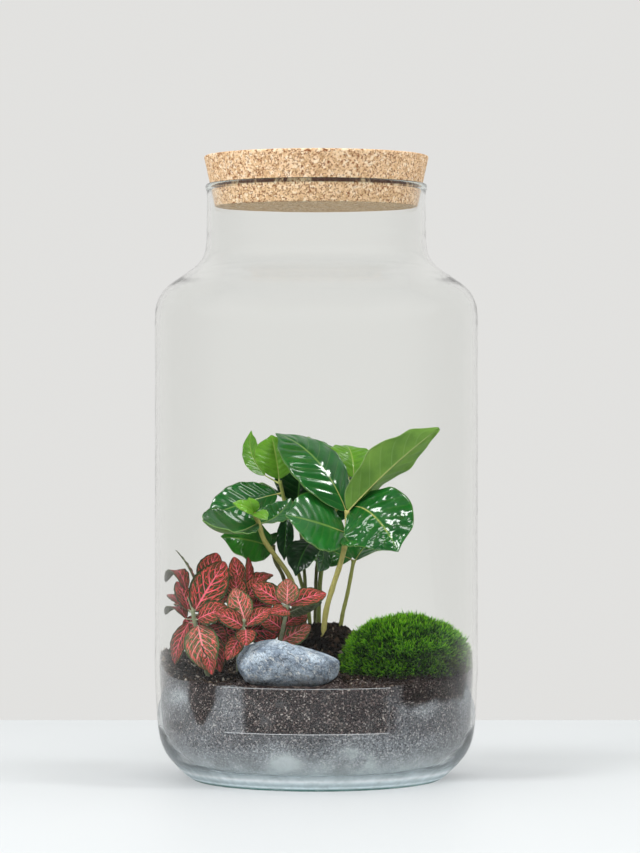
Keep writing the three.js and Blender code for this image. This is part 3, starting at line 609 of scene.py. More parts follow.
def cork_material():
    finish = Finish("pressed_cork")
    tone = finish.split(finish.cells(1.5, output="Color"))[0]
    color = finish.ramp(tone, [(0.0, (0.52, 0.30, 0.14)), (0.3, (0.75, 0.49, 0.27)),
                               (0.7, (0.88, 0.63, 0.39)), (1.0, (0.98, 0.84, 0.64))])
    mellow = finish.ramp(finish.noise(5, 2), [(0.4, (0.78, 0.52, 0.30)), (0.6, (0.88, 0.63, 0.40))])
    color = finish.blend(0.3, color, mellow)
    edge = finish.cells(1.5, "DISTANCE_TO_EDGE", vector=finish.bent_place(1.1, 0.9))
    broken = finish.step(finish.noise(1.5, 2, 0.6), 0.5, 0.58)
    crack = finish.times(finish.step(edge, 0.16, 0.04), broken)
    color = finish.blend(crack, color, (0.27, 0.085, 0.026))
    specks = finish.step(finish.noise(1.1, 2, 0.65), 0.6, 0.64)
    color = finish.blend(finish.times(specks, 0.85), color, (0.19, 0.065, 0.024))
    below = finish.above(CORK["bottom"] + 0.5, CORK["bottom"] + 0.1)
    color = finish.blend(below, color, finish.blend(1.0, color, (0.80, 0.84, 0.86), "MULTIPLY"))
    # Painted shadow where the cork sits in the glass lip: a dark band, deeper in some places than in others
    lip_shadow = finish.times(
        finish.above(RIM_TOP - 2.5, RIM_TOP - 1.8), finish.above(RIM_TOP + 0.1, RIM_TOP - 0.5))
    lip_shadow_depth = finish.math("ADD", finish.times(finish.step(finish.noise(7, 4), 0.38, 0.5), 0.55), 0.4)
    color = finish.blend(finish.times(lip_shadow, lip_shadow_depth), color, (0.065, 0.02, 0.016))
    height = finish.math("SUBTRACT", finish.noise(0.9, 3), finish.math("ADD", crack, specks))
    normal = finish.bump(height, 0.35, 0.6)
    return finish.finish(finish.principled(color, 0.85, 0.25, Normal=normal))


def soil_material():
    """look.x is a crumb's tone or how pale the mist is, look.y the mist. look.z marks crumbs and shade."""
    finish = Finish("potting_soil")
    look = finish.look()
    tone = finish.split(finish.cells(0.62, output="Color"))[0]
    earth = finish.ramp(tone, [(0.0, (0.006, 0.004, 0.004)), (0.5, (0.016, 0.010, 0.009)),
                               (0.76, (0.048, 0.028, 0.027)), (0.92, (0.21, 0.15, 0.14)),
                               (1.0, (0.52, 0.47, 0.43))])
    clumps = finish.step(finish.noise(5, 3), 0.35, 0.7)
    earth = finish.blend(clumps, finish.blend(1.0, earth, (0.55, 0.52, 0.5), "MULTIPLY"), earth)
    crumb = finish.ramp(look[0], [(0.0, (0.006, 0.004, 0.003)), (0.6, (0.022, 0.015, 0.010)),
                                  (0.88, (0.065, 0.040, 0.026)), (0.95, (0.28, 0.22, 0.17)),
                                  (1.0, (0.62, 0.57, 0.50))])
    earth = finish.blend(look[2], earth, crumb)
    mist = finish.ramp(
        finish.noise(0.9, 3, 0.8), [(0.38, (0.095, 0.102, 0.117)), (0.62, (0.42, 0.445, 0.48))])
    mist = finish.blend(finish.times(finish.step(tone, 0.84, 0.92), 0.6), mist, (0.72, 0.73, 0.74))
    mist = finish.blend(finish.times(finish.step(tone, 0.22, 0.12), 0.7), mist, (0.035, 0.035, 0.04))
    mist = finish.blend(look[0], mist, (0.66, 0.72, 0.74))
    color = finish.blend(look[1], earth, mist)
    height = finish.math("ADD", tone, finish.times(finish.noise(2.5, 4), 1.5))
    normal = finish.bump(height, 0.5, 0.7)
    return finish.finish(finish.principled(color, 0.9, 0.05, Normal=normal))


def root_material():
    finish = Finish("root_ball_soil")
    look = finish.look()
    fine = finish.split(finish.cells(0.9, output="Color"))[0]
    earth = finish.ramp(fine, [(0.0, (0.004, 0.003, 0.002)), (0.7, (0.018, 0.011, 0.008)),
                               (0.93, (0.05, 0.032, 0.022)), (1.0, (0.22, 0.17, 0.13))])
    crumb = finish.ramp(look[0], [(0.0, (0.004, 0.003, 0.002)), (0.75, (0.02, 0.013, 0.009)),
                                  (0.93, (0.07, 0.042, 0.026)), (1.0, (0.3, 0.24, 0.18))])
    color = finish.blend(look[2], earth, crumb)
    normal = finish.bump(finish.noise(1.4, 5, 0.7), 0.9, 0.8)
    return finish.finish(finish.principled(color, 0.85, 0.08, Normal=normal))


def stone_material():
    finish = Finish("blue_grey_stone")
    broad = finish.noise(9, 5, 0.65, distortion=0.6)
    color = finish.ramp(broad, [(0.32, (0.13, 0.175, 0.245)), (0.48, (0.37, 0.46, 0.58)),
                                (0.6, (0.62, 0.73, 0.85)), (0.72, (0.86, 0.93, 1.0))])
    slanted = finish.node("ShaderNodeMapping", {
        "Vector": finish.place(), "Rotation": (0, 0.8, 0), "Scale": (1.8, 1, 0.75)},
        vector_type="TEXTURE").outputs[0]
    flecks = finish.step(finish.noise(2.4, 5, 0.85, slanted, 1.2), 0.53, 0.6)
    zone = finish.step(finish.noise(10, 2), 0.40, 0.52)
    color = finish.blend(finish.times(flecks, zone), color, (0.92, 0.93, 0.92))
    pits = finish.step(finish.noise(1.7, 4, 0.85, slanted), 0.46, 0.38)
    color = finish.blend(finish.times(pits, 0.8), color, (0.05, 0.065, 0.09))
    veins = finish.step(finish.cells(19, "DISTANCE_TO_EDGE", vector=finish.bent_place(5, 8)), 0.022, 0.0)
    color = finish.blend(finish.times(veins, 0.7), color, (0.05, 0.065, 0.09))
    grit = finish.noise(0.7, 3, 0.8)
    color = finish.blend(finish.times(finish.step(grit, 0.42, 0.62), 0.55), color, (0.08, 0.10, 0.13))
    height = finish.math("ADD", finish.noise(4, 5, 0.75), finish.times(grit, 0.3))
    normal = finish.bump(height, 1.5, 0.9)
    return finish.finish(finish.principled(color, 0.72, 0.35, Normal=normal))


def moss_material():
    """look.x runs up each blade, look.y is its tone and look.z how dry it is."""
    finish = Finish("moss")
    look = finish.look()
    # Each blade darkens towards its base: partly its own colour, partly painted shade deep in the cushion
    young = finish.ramp(look[0], [(0.0, (0.003, 0.012, 0.001)), (0.45, (0.020, 0.13, 0.003)),
                                  (0.8, (0.20, 0.62, 0.012)), (1.0, (0.62, 1.0, 0.08))])
    old = finish.ramp(look[0], [(0.0, (0.002, 0.007, 0.001)), (0.5, (0.008, 0.045, 0.002)),
                                (1.0, (0.06, 0.22, 0.008))])
    color = finish.blend(look[1], old, young)
    dry = finish.ramp(look[0], [(0.0, (0.006, 0.004, 0.002)), (0.6, (0.03, 0.025, 0.009)),
                                (1.0, (0.13, 0.12, 0.04))])
    color = finish.blend(look[2], color, dry)
    return finish.finish_leaf(0.25, finish.principled(color, 0.6, 0.1), color)


def vein_count(finish, along, across, kind):
    """How many side veins lie between the leaf's base and a point."""
    out = finish.math("ABSOLUTE", across)
    lean = finish.times(out, kind.lean)
    bend = finish.times(finish.times(out, out), kind.bend)
    ahead = finish.math("SUBTRACT", along, finish.math("ADD", lean, bend))
    return finish.times(ahead, kind.veins)


def vein_distance(finish, count):
    """How far a point lies from the nearest side vein, from 0 on it to 0.5 between two."""
    fraction = finish.math("FRACT", finish.math("ADD", count, 10.5))
    return finish.math("ABSOLUTE", finish.math("SUBTRACT", fraction, 0.5))


def coffee_material(upper):
    """look is how far along the blade, how far across it, and how light it is."""
    finish = Finish("coffee_leaf_top" if upper else "coffee_leaf_back")
    along, across, light = finish.look()
    out = finish.math("ABSOLUTE", across)
    side_vein = finish.step(vein_distance(finish, vein_count(finish, along, across, COFFEE)), 0.06, 0.015)
    side_vein = finish.times(side_vein, finish.step(out, 0.97, 0.7))
    midrib = finish.step(out, 0.045, 0.025)
    veins = finish.math("MAXIMUM", finish.times(side_vein, 0.3), midrib)
    cloud = finish.noise(12, 3)
    if upper:
        # Dark for leaves that lie in shade and pale for backlit ones: painted shade and light, with the young
        # leaves' own paler tone
        color = finish.ramp(light, [(0.0, (0.001, 0.018, 0.003)), (0.2, (0.003, 0.068, 0.010)),
                                    (0.35, (0.004, 0.145, 0.012)), (0.6, (0.035, 0.22, 0.018)),
                                    (0.8, (0.10, 0.275, 0.032)), (1.0, (0.17, 0.44, 0.026))])
        cloudy = finish.mottled(cloud, (0.72, 0.75, 0.75), (1.15, 1.1, 1.05))
        color = finish.blend(1.0, color, cloudy, "MULTIPLY")
        vein_color = finish.blend(light, (0.035, 0.17, 0.03), (0.32, 0.50, 0.09))
    else:
        # As on the top, light paints shade and backlight here, with the young leaves' own paler tone
        dark = finish.mottled(cloud, (0.05, 0.17, 0.035), (0.08, 0.24, 0.045))
        fresh = finish.mottled(cloud, (0.17, 0.36, 0.045), (0.25, 0.46, 0.06))
        color = finish.blend(light, dark, fresh)
        vein_color = finish.blend(light, (0.20, 0.38, 0.12), (0.42, 0.60, 0.20))
    color = finish.blend(veins, color, vein_color)
    color = finish.blend(finish.times(finish.step(out, 0.93, 1.0), 0.6), color, vein_color)
    normal = finish.bump(finish.noise(3.2, 3, 0.6), 0.5, 0.35 if upper else 0.2)
    if upper:
        young = finish.times(finish.step(light, 0.4, 0.6), 0.8)
        hidden = finish.times(finish.step(light, 0.22, 0.12), 0.8)
        coat = finish.math("SUBTRACT", finish.math("SUBTRACT", 1.0, young), hidden)
        surface = finish.principled(
            color, 0.3, 0.25, Normal=normal, Coat_Weight=coat, Coat_Roughness=0.12, Coat_IOR=1.75)
    else:
        surface = finish.principled(color, 0.5, 0.4, Normal=normal)
    share = finish.math("ADD", 0.05, finish.times(light, 0.2))
    return finish.finish_leaf(share, surface, color)


def stem_material(name, tones):
    """look.x runs along the stem and look.z is its own tone."""
    finish = Finish(name)
    look = finish.look()
    color = finish.ramp(look[2], tones)
    streaks = finish.step(finish.noise(1.6, 4, 0.7), 0.5, 0.72)
    color = finish.blend(finish.times(streaks, 0.5), color, (0.10, 0.055, 0.02))
    normal = finish.bump(finish.noise(1.1, 3), 0.25, 0.6)
    return finish.finish(finish.principled(color, 0.45, 0.4, Normal=normal))


def nerve_material(upper):
    """Dark green with a net of coral veins, and a pale back. look is as for the coffee leaves."""
    finish = Finish("fittonia_leaf_top" if upper else "fittonia_leaf_back")
    along, across, light = finish.look()
    out = finish.math("ABSOLUTE", across)
    count = vein_count(finish, along, across, NERVE_PLANT)
    from_vein = vein_distance(finish, count)
    near = finish.node("ShaderNodeCombineXYZ", {
        "X": finish.times(count, 2.4), "Y": finish.times(across, 3.6),
        "Z": finish.times(light, 9)}).outputs[0]
    near = finish.bent(near, 0.9, (0.7, 0.7, 0))
    net = finish.node("ShaderNodeTexVoronoi", {"Vector": near, "Scale": 1.0},
                      feature="DISTANCE_TO_EDGE").outputs["Distance"]
    if upper:
        wobble = finish.times(finish.math("SUBTRACT", finish.noise(1.6, 2), 0.5), 0.16)
        slim = finish.math("ADD", finish.math("ADD", from_vein, wobble), finish.times(out, 0.05))
        side_vein = finish.step(slim, 0.115, 0.055)
        midrib = finish.step(finish.math("ADD", out, finish.times(along, 0.06)), 0.1, 0.05)
        main = finish.math("MAXIMUM", side_vein, midrib)
        inside = finish.step(out, 0.94, 0.8)
        fine_vein = finish.times(finish.step(net, 0.09, 0.04), inside)
        main = finish.times(main, inside)
        veins = finish.math("MAXIMUM", fine_vein, main)
        green = finish.mottled(finish.noise(3, 3), (0.004, 0.013, 0.003), (0.018, 0.046, 0.008))
        green = finish.blend(finish.times(light, 0.5), green, (0.16, 0.24, 0.09))
        coral = finish.mottled(finish.noise(5, 2), (0.50, 0.026, 0.028), (0.84, 0.070, 0.065))
        coral = finish.blend(finish.times(light, 0.25), coral, (0.92, 0.36, 0.32))
        pink = finish.blend(finish.step(out, 0.8, 0.15), coral, (0.90, 0.10, 0.18))
        pink = finish.blend(finish.times(light, 0.55), pink, (0.95, 0.50, 0.46))
        color = finish.blend(fine_vein, green, coral)
        color = finish.blend(main, color, pink)
        rough = 0.42
    else:
        veins = finish.times(finish.step(from_vein, 0.14, 0.03), 0.6)
        back = finish.mottled(finish.noise(4, 3), (0.07, 0.085, 0.045), (0.16, 0.20, 0.10))
        color = finish.blend(veins, back, (0.30, 0.25, 0.18))
        rough = 0.6
    height = finish.math("SUBTRACT", finish.step(net, 0.0, 0.3), finish.times(veins, 0.6))
    normal = finish.bump(height, 0.3, 0.7)
    return finish.finish_leaf(0.1, finish.principled(color, rough, 0.12, Normal=normal), color)


# The jar, its cork and its label


def glass_jar():
    shape = Shape()
    outline = np.maximum(smooth_line(JAR_OUTSIDE + JAR_RIM + JAR_INSIDE, LINE_STEPS), 0)
    shape.add(*turned(outline, JAR_SIDES))
    return shape.piece("glass_jar", [glass_material()], "jar_glass")


def cork_stopper():
    shape = Shape()
    small, large, edge = CORK["small"], CORK["large"], CORK["edge"]
    bottom, top = CORK["bottom"], CORK["top"]
    outline = [(0, bottom), (small * 0.5, bottom), (small - 2 * edge, bottom), (small - edge, bottom + 0.05),
               (small - 0.3 * edge, bottom + 0.3 * edge), (small, bottom + edge)]
    outline += [(small + (large - small) * f, bottom + edge + (top - bottom - 2 * edge) * f)
                for f in np.linspace(0.03, 0.97, 24)]
    outline += [(large, top - edge), (large - 0.3 * edge, top - 0.3 * edge), (large - edge, top),
                (large - 2 * edge, top), (large * 0.5, top), (0, top)]
    points, faces = turned(outline, CORK_SIDES)
    points = points.reshape(-1, 3)
    push = 0.12 * roughness_at(points, 1.6, 3)
    points[:, :2] *= (1 + push / np.maximum(np.hypot(points[:, 0], points[:, 1]), 20))[:, None]
    shape.add(points, faces)
    return shape.piece("cork_stopper", [cork_material()], "cork")


def blank_label():
    """A film that follows the wall, with thin pale edges."""
    shape = Shape()
    bottom, left, right, edge = LABEL["bottom"], LABEL["left"], LABEL["right"], LABEL["edge"]
    tall = LABEL["top"] - bottom
    heights = np.array([0, edge, *np.linspace(2, tall - 2, 8), tall - edge, tall]) + bottom
    edge_turn = math.degrees(edge / BODY_RADIUS)
    turns = [left, left + edge_turn, *np.linspace(left + 1, right - 1, 48), right - edge_turn, right]
    angle = np.radians(np.array(turns) - 90)
    line = smooth_line(JAR_OUTSIDE, LINE_STEPS)
    line = line[line[:, 1] > 10]
    wall = np.interp(heights, line[:, 1], line[:, 0])
    layers = [round_points((wall + off)[:, None], angle, heights[:, None])
              for off in (LABEL["off"], LABEL["off"] + LABEL["thickness"])]
    rows, columns = layers[0].shape[:2]
    brim = np.zeros((rows, columns))
    brim[[0, -1], :] = 1
    brim[:, [0, -1]] = 0.12
    size = rows * columns
    faces = grid_faces(rows, columns, flip=True)
    faces += [[corner + size for corner in face] for face in grid_faces(rows, columns)]
    faces += closing_faces(rows, columns, size)
    shape.add(np.stack(layers), faces, np.vstack([looks(brim, 0, 0)] * 2))
    return shape.piece("blank_label", [film_material()], "label_film")


def closing_faces(rows, columns, size):
    """The wall round the edge of two grids of points that lie over each other."""
    edge = list(range(columns))
    edge += [row * columns + columns - 1 for row in range(1, rows)]
    edge += [(rows - 1) * columns + column for column in range(columns - 2, -1, -1)]
    edge += [row * columns for row in range(rows - 2, 0, -1)]
    after = edge[1:] + edge[:1]
    return [[first, first + size, second + size, second] for first, second in zip(edge, after)]


# The ground


def mound_points(spec):
    """A rounded mound with a flat base, as in the model but drawn in all round."""
    turn = np.linspace(0, np.pi / 2, MOUND_ROWS)
    reach = np.cos(turn) ** (2 / spec["round"])
    rise = np.sin(turn) ** (2 / spec["round"])
    reach[-1] = 0
    angle = np.linspace(0, 2 * np.pi, MOUND_SIDES, endpoint=False)
    x = reach[:, None] * np.cos(angle)
    y = reach[:, None] * np.sin(angle)
    z = np.broadcast_to(rise[:, None], x.shape)
    height = spec["top"] - spec["base"]
    lump = spec["bump"] * unevenness(
        x * spec["radii"][0], y * spec["radii"][1], z * height, spec["bump_size"]) - spec["shrink"]
    swell = lump / np.maximum(np.hypot(x, y), 1e-3)
    swell = np.where(reach[:, None] > 0, swell, 0)
    return np.stack([
        spec["at"][0] + x * (spec["radii"][0] + swell),
        spec["at"][1] + y * (spec["radii"][1] + swell),
        np.where(z > 0, spec["base"] + z * (height + lump), spec["base"]),
    ], -1)


def outward(points):
    """The way that each point of a ringed grid faces."""
    around = np.roll(points, -1, 1) - np.roll(points, 1, 1)
    up = np.gradient(points, axis=0)
    return unit(np.cross(around, up) + np.array([0, 0, 1e-9]))


def soil_height(x, y):
    """The ground without the hollows in it, as in the model."""
    height = SOIL_LEVEL + SOIL_SLOPE * y
    for rise, bank_x, bank_y, spread in SOIL_BANKS:
        height = height + rise * np.exp(-((x - bank_x) ** 2 + (y - bank_y) ** 2) / spread)
    return height + 0.9 * unevenness(x, y, 0 * x, 7)


def inside_mound(spec, x, y, grow):
    """Whether a place lies under a mound that is made larger all round by grow."""
    return ((x - spec["at"][0]) / (spec["radii"][0] + grow)) ** 2 + (
        (y - spec["at"][1]) / (spec["radii"][1] + grow)) ** 2 < 1


def stone_share(x, y):
    """How far out from the stone's middle a place is, seen from above: 1 on its outline."""
    return sum(np.abs((value - middle) / half) ** STONE["square"]
               for value, middle, half in zip((x, y), STONE["at"], STONE["half"]))


def soil_top(x, y):
    """The soil's surface, with hollows under what stands in it."""
    z = soil_height(x, y)
    for spec in (ROOT_PLUG, MOSS):
        z = np.where(inside_mound(spec, x, y, 0.2), spec["base"] - 0.3, z)
    share = stone_share(x, y)
    under = STONE["at"][2] - STONE["half"][2] * np.clip(1 - share, 0, 1) ** (1 / STONE["square"]) - 0.8
    return np.where(share < 1, np.minimum(z, under), z)


def spot(turn, z, patch, reach):
    """1 in the middle of a patch of mist and 0 well outside it."""
    return np.exp(-((turn - patch[0]) / reach) ** 2 - ((z - patch[1]) / reach) ** 2)


def pale_mist(turn, z, cloud):
    """How white the mist is: towards the foot and in a few patches."""
    level = smoothstep(z, 25, 7) * (0.62 + 0.6 * cloud)
    for patch in MIST_PATCHES:
        level += (0.55 if patch[1] < 30 else 0.22) * spot(turn, z, patch, 5) * (0.8 + cloud)
    level += 0.2 * smoothstep(turn, -30, -48) * smoothstep(z, 28, 40) * (0.7 + cloud)
    return np.clip(level, 0, 0.92)


def dark_right(turn, z, cloud):
    """Where the soil is bare and shaded, before and under the moss."""
    return between(turn, *SHADED_SIDE) * smoothstep(z, 44 + 6.6 * cloud, 51 + 6.6 * cloud)


def haze(turn, z, cloud):
    """How misty the glass is before the soil's side, from 0 to 1.

    The mist is thickest at the foot and in the patches. It leaves clear a ragged window at the front, the
    shaded soil on the right and a streak that ran down on the left.
    """
    level = 0.62 + 0.35 * cloud
    level -= 0.45 * smoothstep(z, 46, 62) * (0.6 + 0.4 * cloud)
    level += 0.3 * smoothstep(z, 22, 9) * (0.5 + cloud)
    for patch in MIST_PATCHES:
        level += 0.35 * spot(turn, z, patch, 6)
    ragged = 6.6 * cloud
    window = between(turn, (-28, -25), (24 + ragged, 32 + ragged)) * between(z, (31, 33.5), (58, 62))
    level = level * (1 - 0.93 * window) * (1 - dark_right(turn, z, cloud))
    level -= 0.34 * between(turn, (30, 38), (58, 68)) * smoothstep(z, 26, 34) * (0.5 + cloud)
    width = 5.2 * smoothstep(z, 33, 50) + 1.5
    streak = smoothstep(np.abs(turn + 45 - 0.06 * (z - 50)), width + 1, width - 0.6)
    level = level * (1 - 0.92 * streak * between(z, (34, 37), (70, 76)))
    return np.clip(level, 0, 0.9)


def add_ground(shape):
    """The soil's side, which follows the glass and shows through its mist, and its uneven top."""
    angle = np.linspace(0, 2 * np.pi, SOIL_SIDES, endpoint=False)
    wall = smooth_line([point for point in JAR_INSIDE[::-1] if point[1] <= 260][1:], 8)
    edge = soil_height(SOIL_REACH * np.cos(angle), SOIL_REACH * np.sin(angle))
    rows = [(np.full(SOIL_SIDES, radius), np.full(SOIL_SIDES, SOIL_FLOOR)) for radius in (0.01, 20, 40, 56)]
    for share in np.linspace(0, 1, SOIL_WALL_ROWS):
        height = SOIL_FLOOR + (edge - SOIL_FLOOR) * share
        rows.append((np.interp(height, wall[:, 1], wall[:, 0]) - WALL_GAP, height))
    wall_rows = len(rows)
    for radius in np.linspace(SOIL_REACH, 0, SOIL_TOP_ROWS)[1:]:
        surface = soil_top(radius * np.cos(angle), radius * np.sin(angle))
        rows.append((np.full(SOIL_SIDES, max(radius, 0.01)), surface))
    radius, height = np.array(rows).transpose(1, 0, 2)
    points = round_points(radius, angle, height)
    turn = np.degrees(np.arctan2(points[..., 0], -points[..., 1]))
    drift = roughness_at(looks(turn / 16, height / 13, 2.5), 1).reshape(turn.shape)
    shade = SOIL_SHADE * dark_right(turn, height, drift) * smoothstep(radius, *SHADED_RADII)
    top = points[wall_rows:].reshape(-1, 3)
    # The soil dips a little and lies smoother in front of the stone
    front = smoothstep(top[:, 1], -52, -62) * smoothstep(np.abs(top[:, 0] - STONE["at"][0]), 44, 30)
    top[:, 2] += 0.55 * roughness_at(top, 3.2) * (1 - 0.6 * front) - 1.4 * front
    points[wall_rows:] = top.reshape(points[wall_rows:].shape)
    cloud = roughness_at(points[:wall_rows].reshape(-1, 3), 11).reshape(wall_rows, SOIL_SIDES)
    pale, mist = np.zeros((2, *radius.shape))
    pale[:wall_rows] = pale_mist(turn[:wall_rows], height[:wall_rows], cloud)
    mist[:wall_rows] = haze(turn[:wall_rows], height[:wall_rows], drift[:wall_rows])
    shape.add(points, grid_faces(len(rows), SOIL_SIDES, ring=True), looks(pale, mist, shade))


def add_soil_crumbs(shape):
    """Crumbs on the open soil. They are smaller in front of the stone and darker before the moss."""
    radius = SOIL_REACH * np.sqrt(chance.uniform(0, 1, SOIL_CRUMBS))
    angle = chance.uniform(0, 2 * np.pi, SOIL_CRUMBS)
    x = radius * np.cos(angle)
    y = radius * np.sin(angle)
    clear = ~(inside_mound(ROOT_PLUG, x, y, 0) | inside_mound(MOSS, x, y, 0))
    clear &= stone_share(x, y) > 1
    clear &= ~((np.abs(x - STONE["at"][0]) < 30) & (y < -55))
    sizes = chance.gamma(3, 0.2, SOIL_CRUMBS) + 0.3
    sizes *= 1 - 0.6 * smoothstep(y, -45, -60)
    places = np.stack([x, y, soil_height(x, y) + 0.3 * sizes], -1)
    turn = np.degrees(np.arctan2(x, -y))
    shaded = between(turn, *SHADED_SIDE) * smoothstep(np.hypot(x, y), *SHADED_RADII)
    tones = chance.uniform(0, 1, SOIL_CRUMBS) * (1 - 0.5 * shaded)
    add_crumbs(shape, places[clear], sizes[clear], tones[clear], SOIL_REACH)


def soil_bed():
    shape = Shape()
    add_ground(shape)
    add_soil_crumbs(shape)
    return shape.piece("soil_bed", [soil_material()], "soil")


def coffee_root_plug():
    shape = Shape()
    points = mound_points(ROOT_PLUG)
    facing = outward(points).reshape(-1, 3)
    flat = points.reshape(-1, 3)
    lift = 0.8 * roughness_at(flat, 3.0)
    moved = (flat + facing * lift[:, None]).reshape(points.shape)
    moved[0] = points[0]
    shape.add(moved, grid_faces(MOUND_ROWS, MOUND_SIDES, ring=True))
    picks = chance.integers(MOUND_SIDES, len(flat), ROOT_CRUMBS)
    sizes = chance.gamma(3, 0.24, ROOT_CRUMBS) + 0.35
    places = flat[picks] + facing[picks] * 0.5 + chance.normal(0, 0.5, (ROOT_CRUMBS, 3))
    add_crumbs(shape, places, sizes, chance.uniform(0, 1, ROOT_CRUMBS))
    return shape.piece("coffee_root_plug", [root_material()], "root_plug")


def stone():
    build = bmesh.new()
    bmesh.ops.create_icosphere(build, subdivisions=6, radius=1)
    ball = np.array([vertex.co[:] for vertex in build.verts])
    faces = [[vertex.index for vertex in face.verts] for face in build.faces]
    build.free()
    power = STONE["square"]
    ball = ball / (np.abs(ball) ** power).sum(1, keepdims=True) ** (1 / power)
    half = np.array(STONE["half"], float)
    lump = 0.7 * unevenness(*(ball * half).T, 6)
    fall = 1 - STONE["fall"] * smoothstep(ball[:, 0], -0.4, 1)
    drop = np.where(ball[:, 2] > 0, fall, 1)
    points = ball * (half * np.stack([np.ones_like(drop), np.ones_like(drop), drop], -1) + lump[:, None])
    for facing, off in STONE_CHIPS:
        facing = unit(np.array(facing, float))
        over = np.maximum(points @ facing - off, 0)
        points -= facing * over[:, None] * 0.85
    rough = 0.5 * roughness_at(points, 6) + 0.12 * roughness_at(points, 1.2)
    points += unit(points) * rough[:, None]
    shape = Shape()
    shape.add(points + np.array(STONE["at"], float), faces)
    return shape.piece("stone", [stone_material()], "grey_stone")


def moss_cushion():
    shape = Shape()
    skin = mound_points(MOSS)
    facing = outward(skin)
    keep_within(skin, MOSS_REACH - 0.8)
    # The bare skin under the blades takes their dark base colour: painted shade, partly its own colour
    shape.add(skin, grid_faces(MOUND_ROWS, MOUND_SIDES, ring=True), (0.12, 0.4, 0))

    areas = np.linalg.norm(np.cross(np.roll(skin, -1, 1) - skin, np.gradient(skin, axis=0)), axis=-1).ravel()
    picks = chance.choice(len(areas), MOSS_BLADES, p=areas / areas.sum())
    base = skin.reshape(-1, 3)[picks] + chance.normal(0, 0.55, (MOSS_BLADES, 3))
    lean = facing.reshape(-1, 3)[picks] + chance.normal(0, 0.36, (MOSS_BLADES, 3))
    lean = unit(lean + np.array([0, 0, 0.3]))
    length = chance.uniform(*BLADE_LENGTHS, MOSS_BLADES)
    patch = roughness_at(base, 6, 3)
    length *= np.clip(0.95 + 0.7 * patch, 0.5, 1.2)
    tone = np.clip(0.48 + 1.1 * patch + chance.normal(0, 0.5, MOSS_BLADES), 0, 1)
    brown = smoothstep(base[:, 0], 55, 72) * smoothstep(base[:, 2], 76, 66) * smoothstep(base[:, 1], -14, -24)
    brown = np.clip(0.9 * brown * (0.6 + 0.6 * roughness_at(base, 5, 2)), 0, 1)
    brown = np.maximum(brown, 0.8 * smoothstep(base[:, 2], 61.5, 58.5))
    side = unit(np.cross(lean, chance.normal(0, 1, lean.shape)))
    wide = chance.uniform(*BLADE_HALF_WIDTHS, MOSS_BLADES)[:, None]
    bend = chance.normal(0, 0.35, lean.shape)
    halfway = base + lean * length[:, None] * 0.55 + bend * 0.4
    blades = np.stack([
        base - side * wide, base + side * wide, halfway - side * wide * 0.8, halfway + side * wide * 0.8,
        base + lean * length[:, None] + bend], 1)
    keep_within(blades, MOSS_REACH + 0.2)
    faces = []
    for first in range(0, MOSS_BLADES * 5, 5):
        faces.append((first, first + 1, first + 3, first + 2))
        faces.append((first + 2, first + 3, first + 4))
    up = np.array([0.1, 0.1, 0.6, 0.6, 1.0])
    shape.add(blades, faces, looks(up, tone[:, None], brown[:, None]))
    return shape.piece("moss_cushion", [moss_material()], "moss")


# The plants


def coffee_width(t):
    body = np.sin(np.pi * np.clip(t, 0, 1) ** 0.92) ** 0.72
    return body * (1 - 0.45 * smoothstep(t, 0.8, 0.97))


def nerve_width(t):
    return np.sin(np.pi * np.clip(t, 0, 1) ** 0.86) ** 0.68


# thickness and stalk, the stalk's largest radius, are in millimetres. lean and bend say how the side veins
# run, and quilt how far the blade bulges between them.
COFFEE = SimpleNamespace(
    thickness=0.45, veins=8, lean=0.17, bend=0.05, quilt=0.62, rows=76, columns=33, stalk=0.75,
    width=coffee_width)
NERVE_PLANT = SimpleNamespace(
    thickness=0.4, veins=6, lean=0.32, bend=0.1, quilt=0.3, rows=44, columns=21, stalk=0.62,
    width=nerve_width)
TOP, BACK, STALK = range(3)  # the order of a plant's materials
RIB_POINTS = 22
RIB_END = 0.93  # as a share of the leaf's length
RIB_SUNK = 0.12


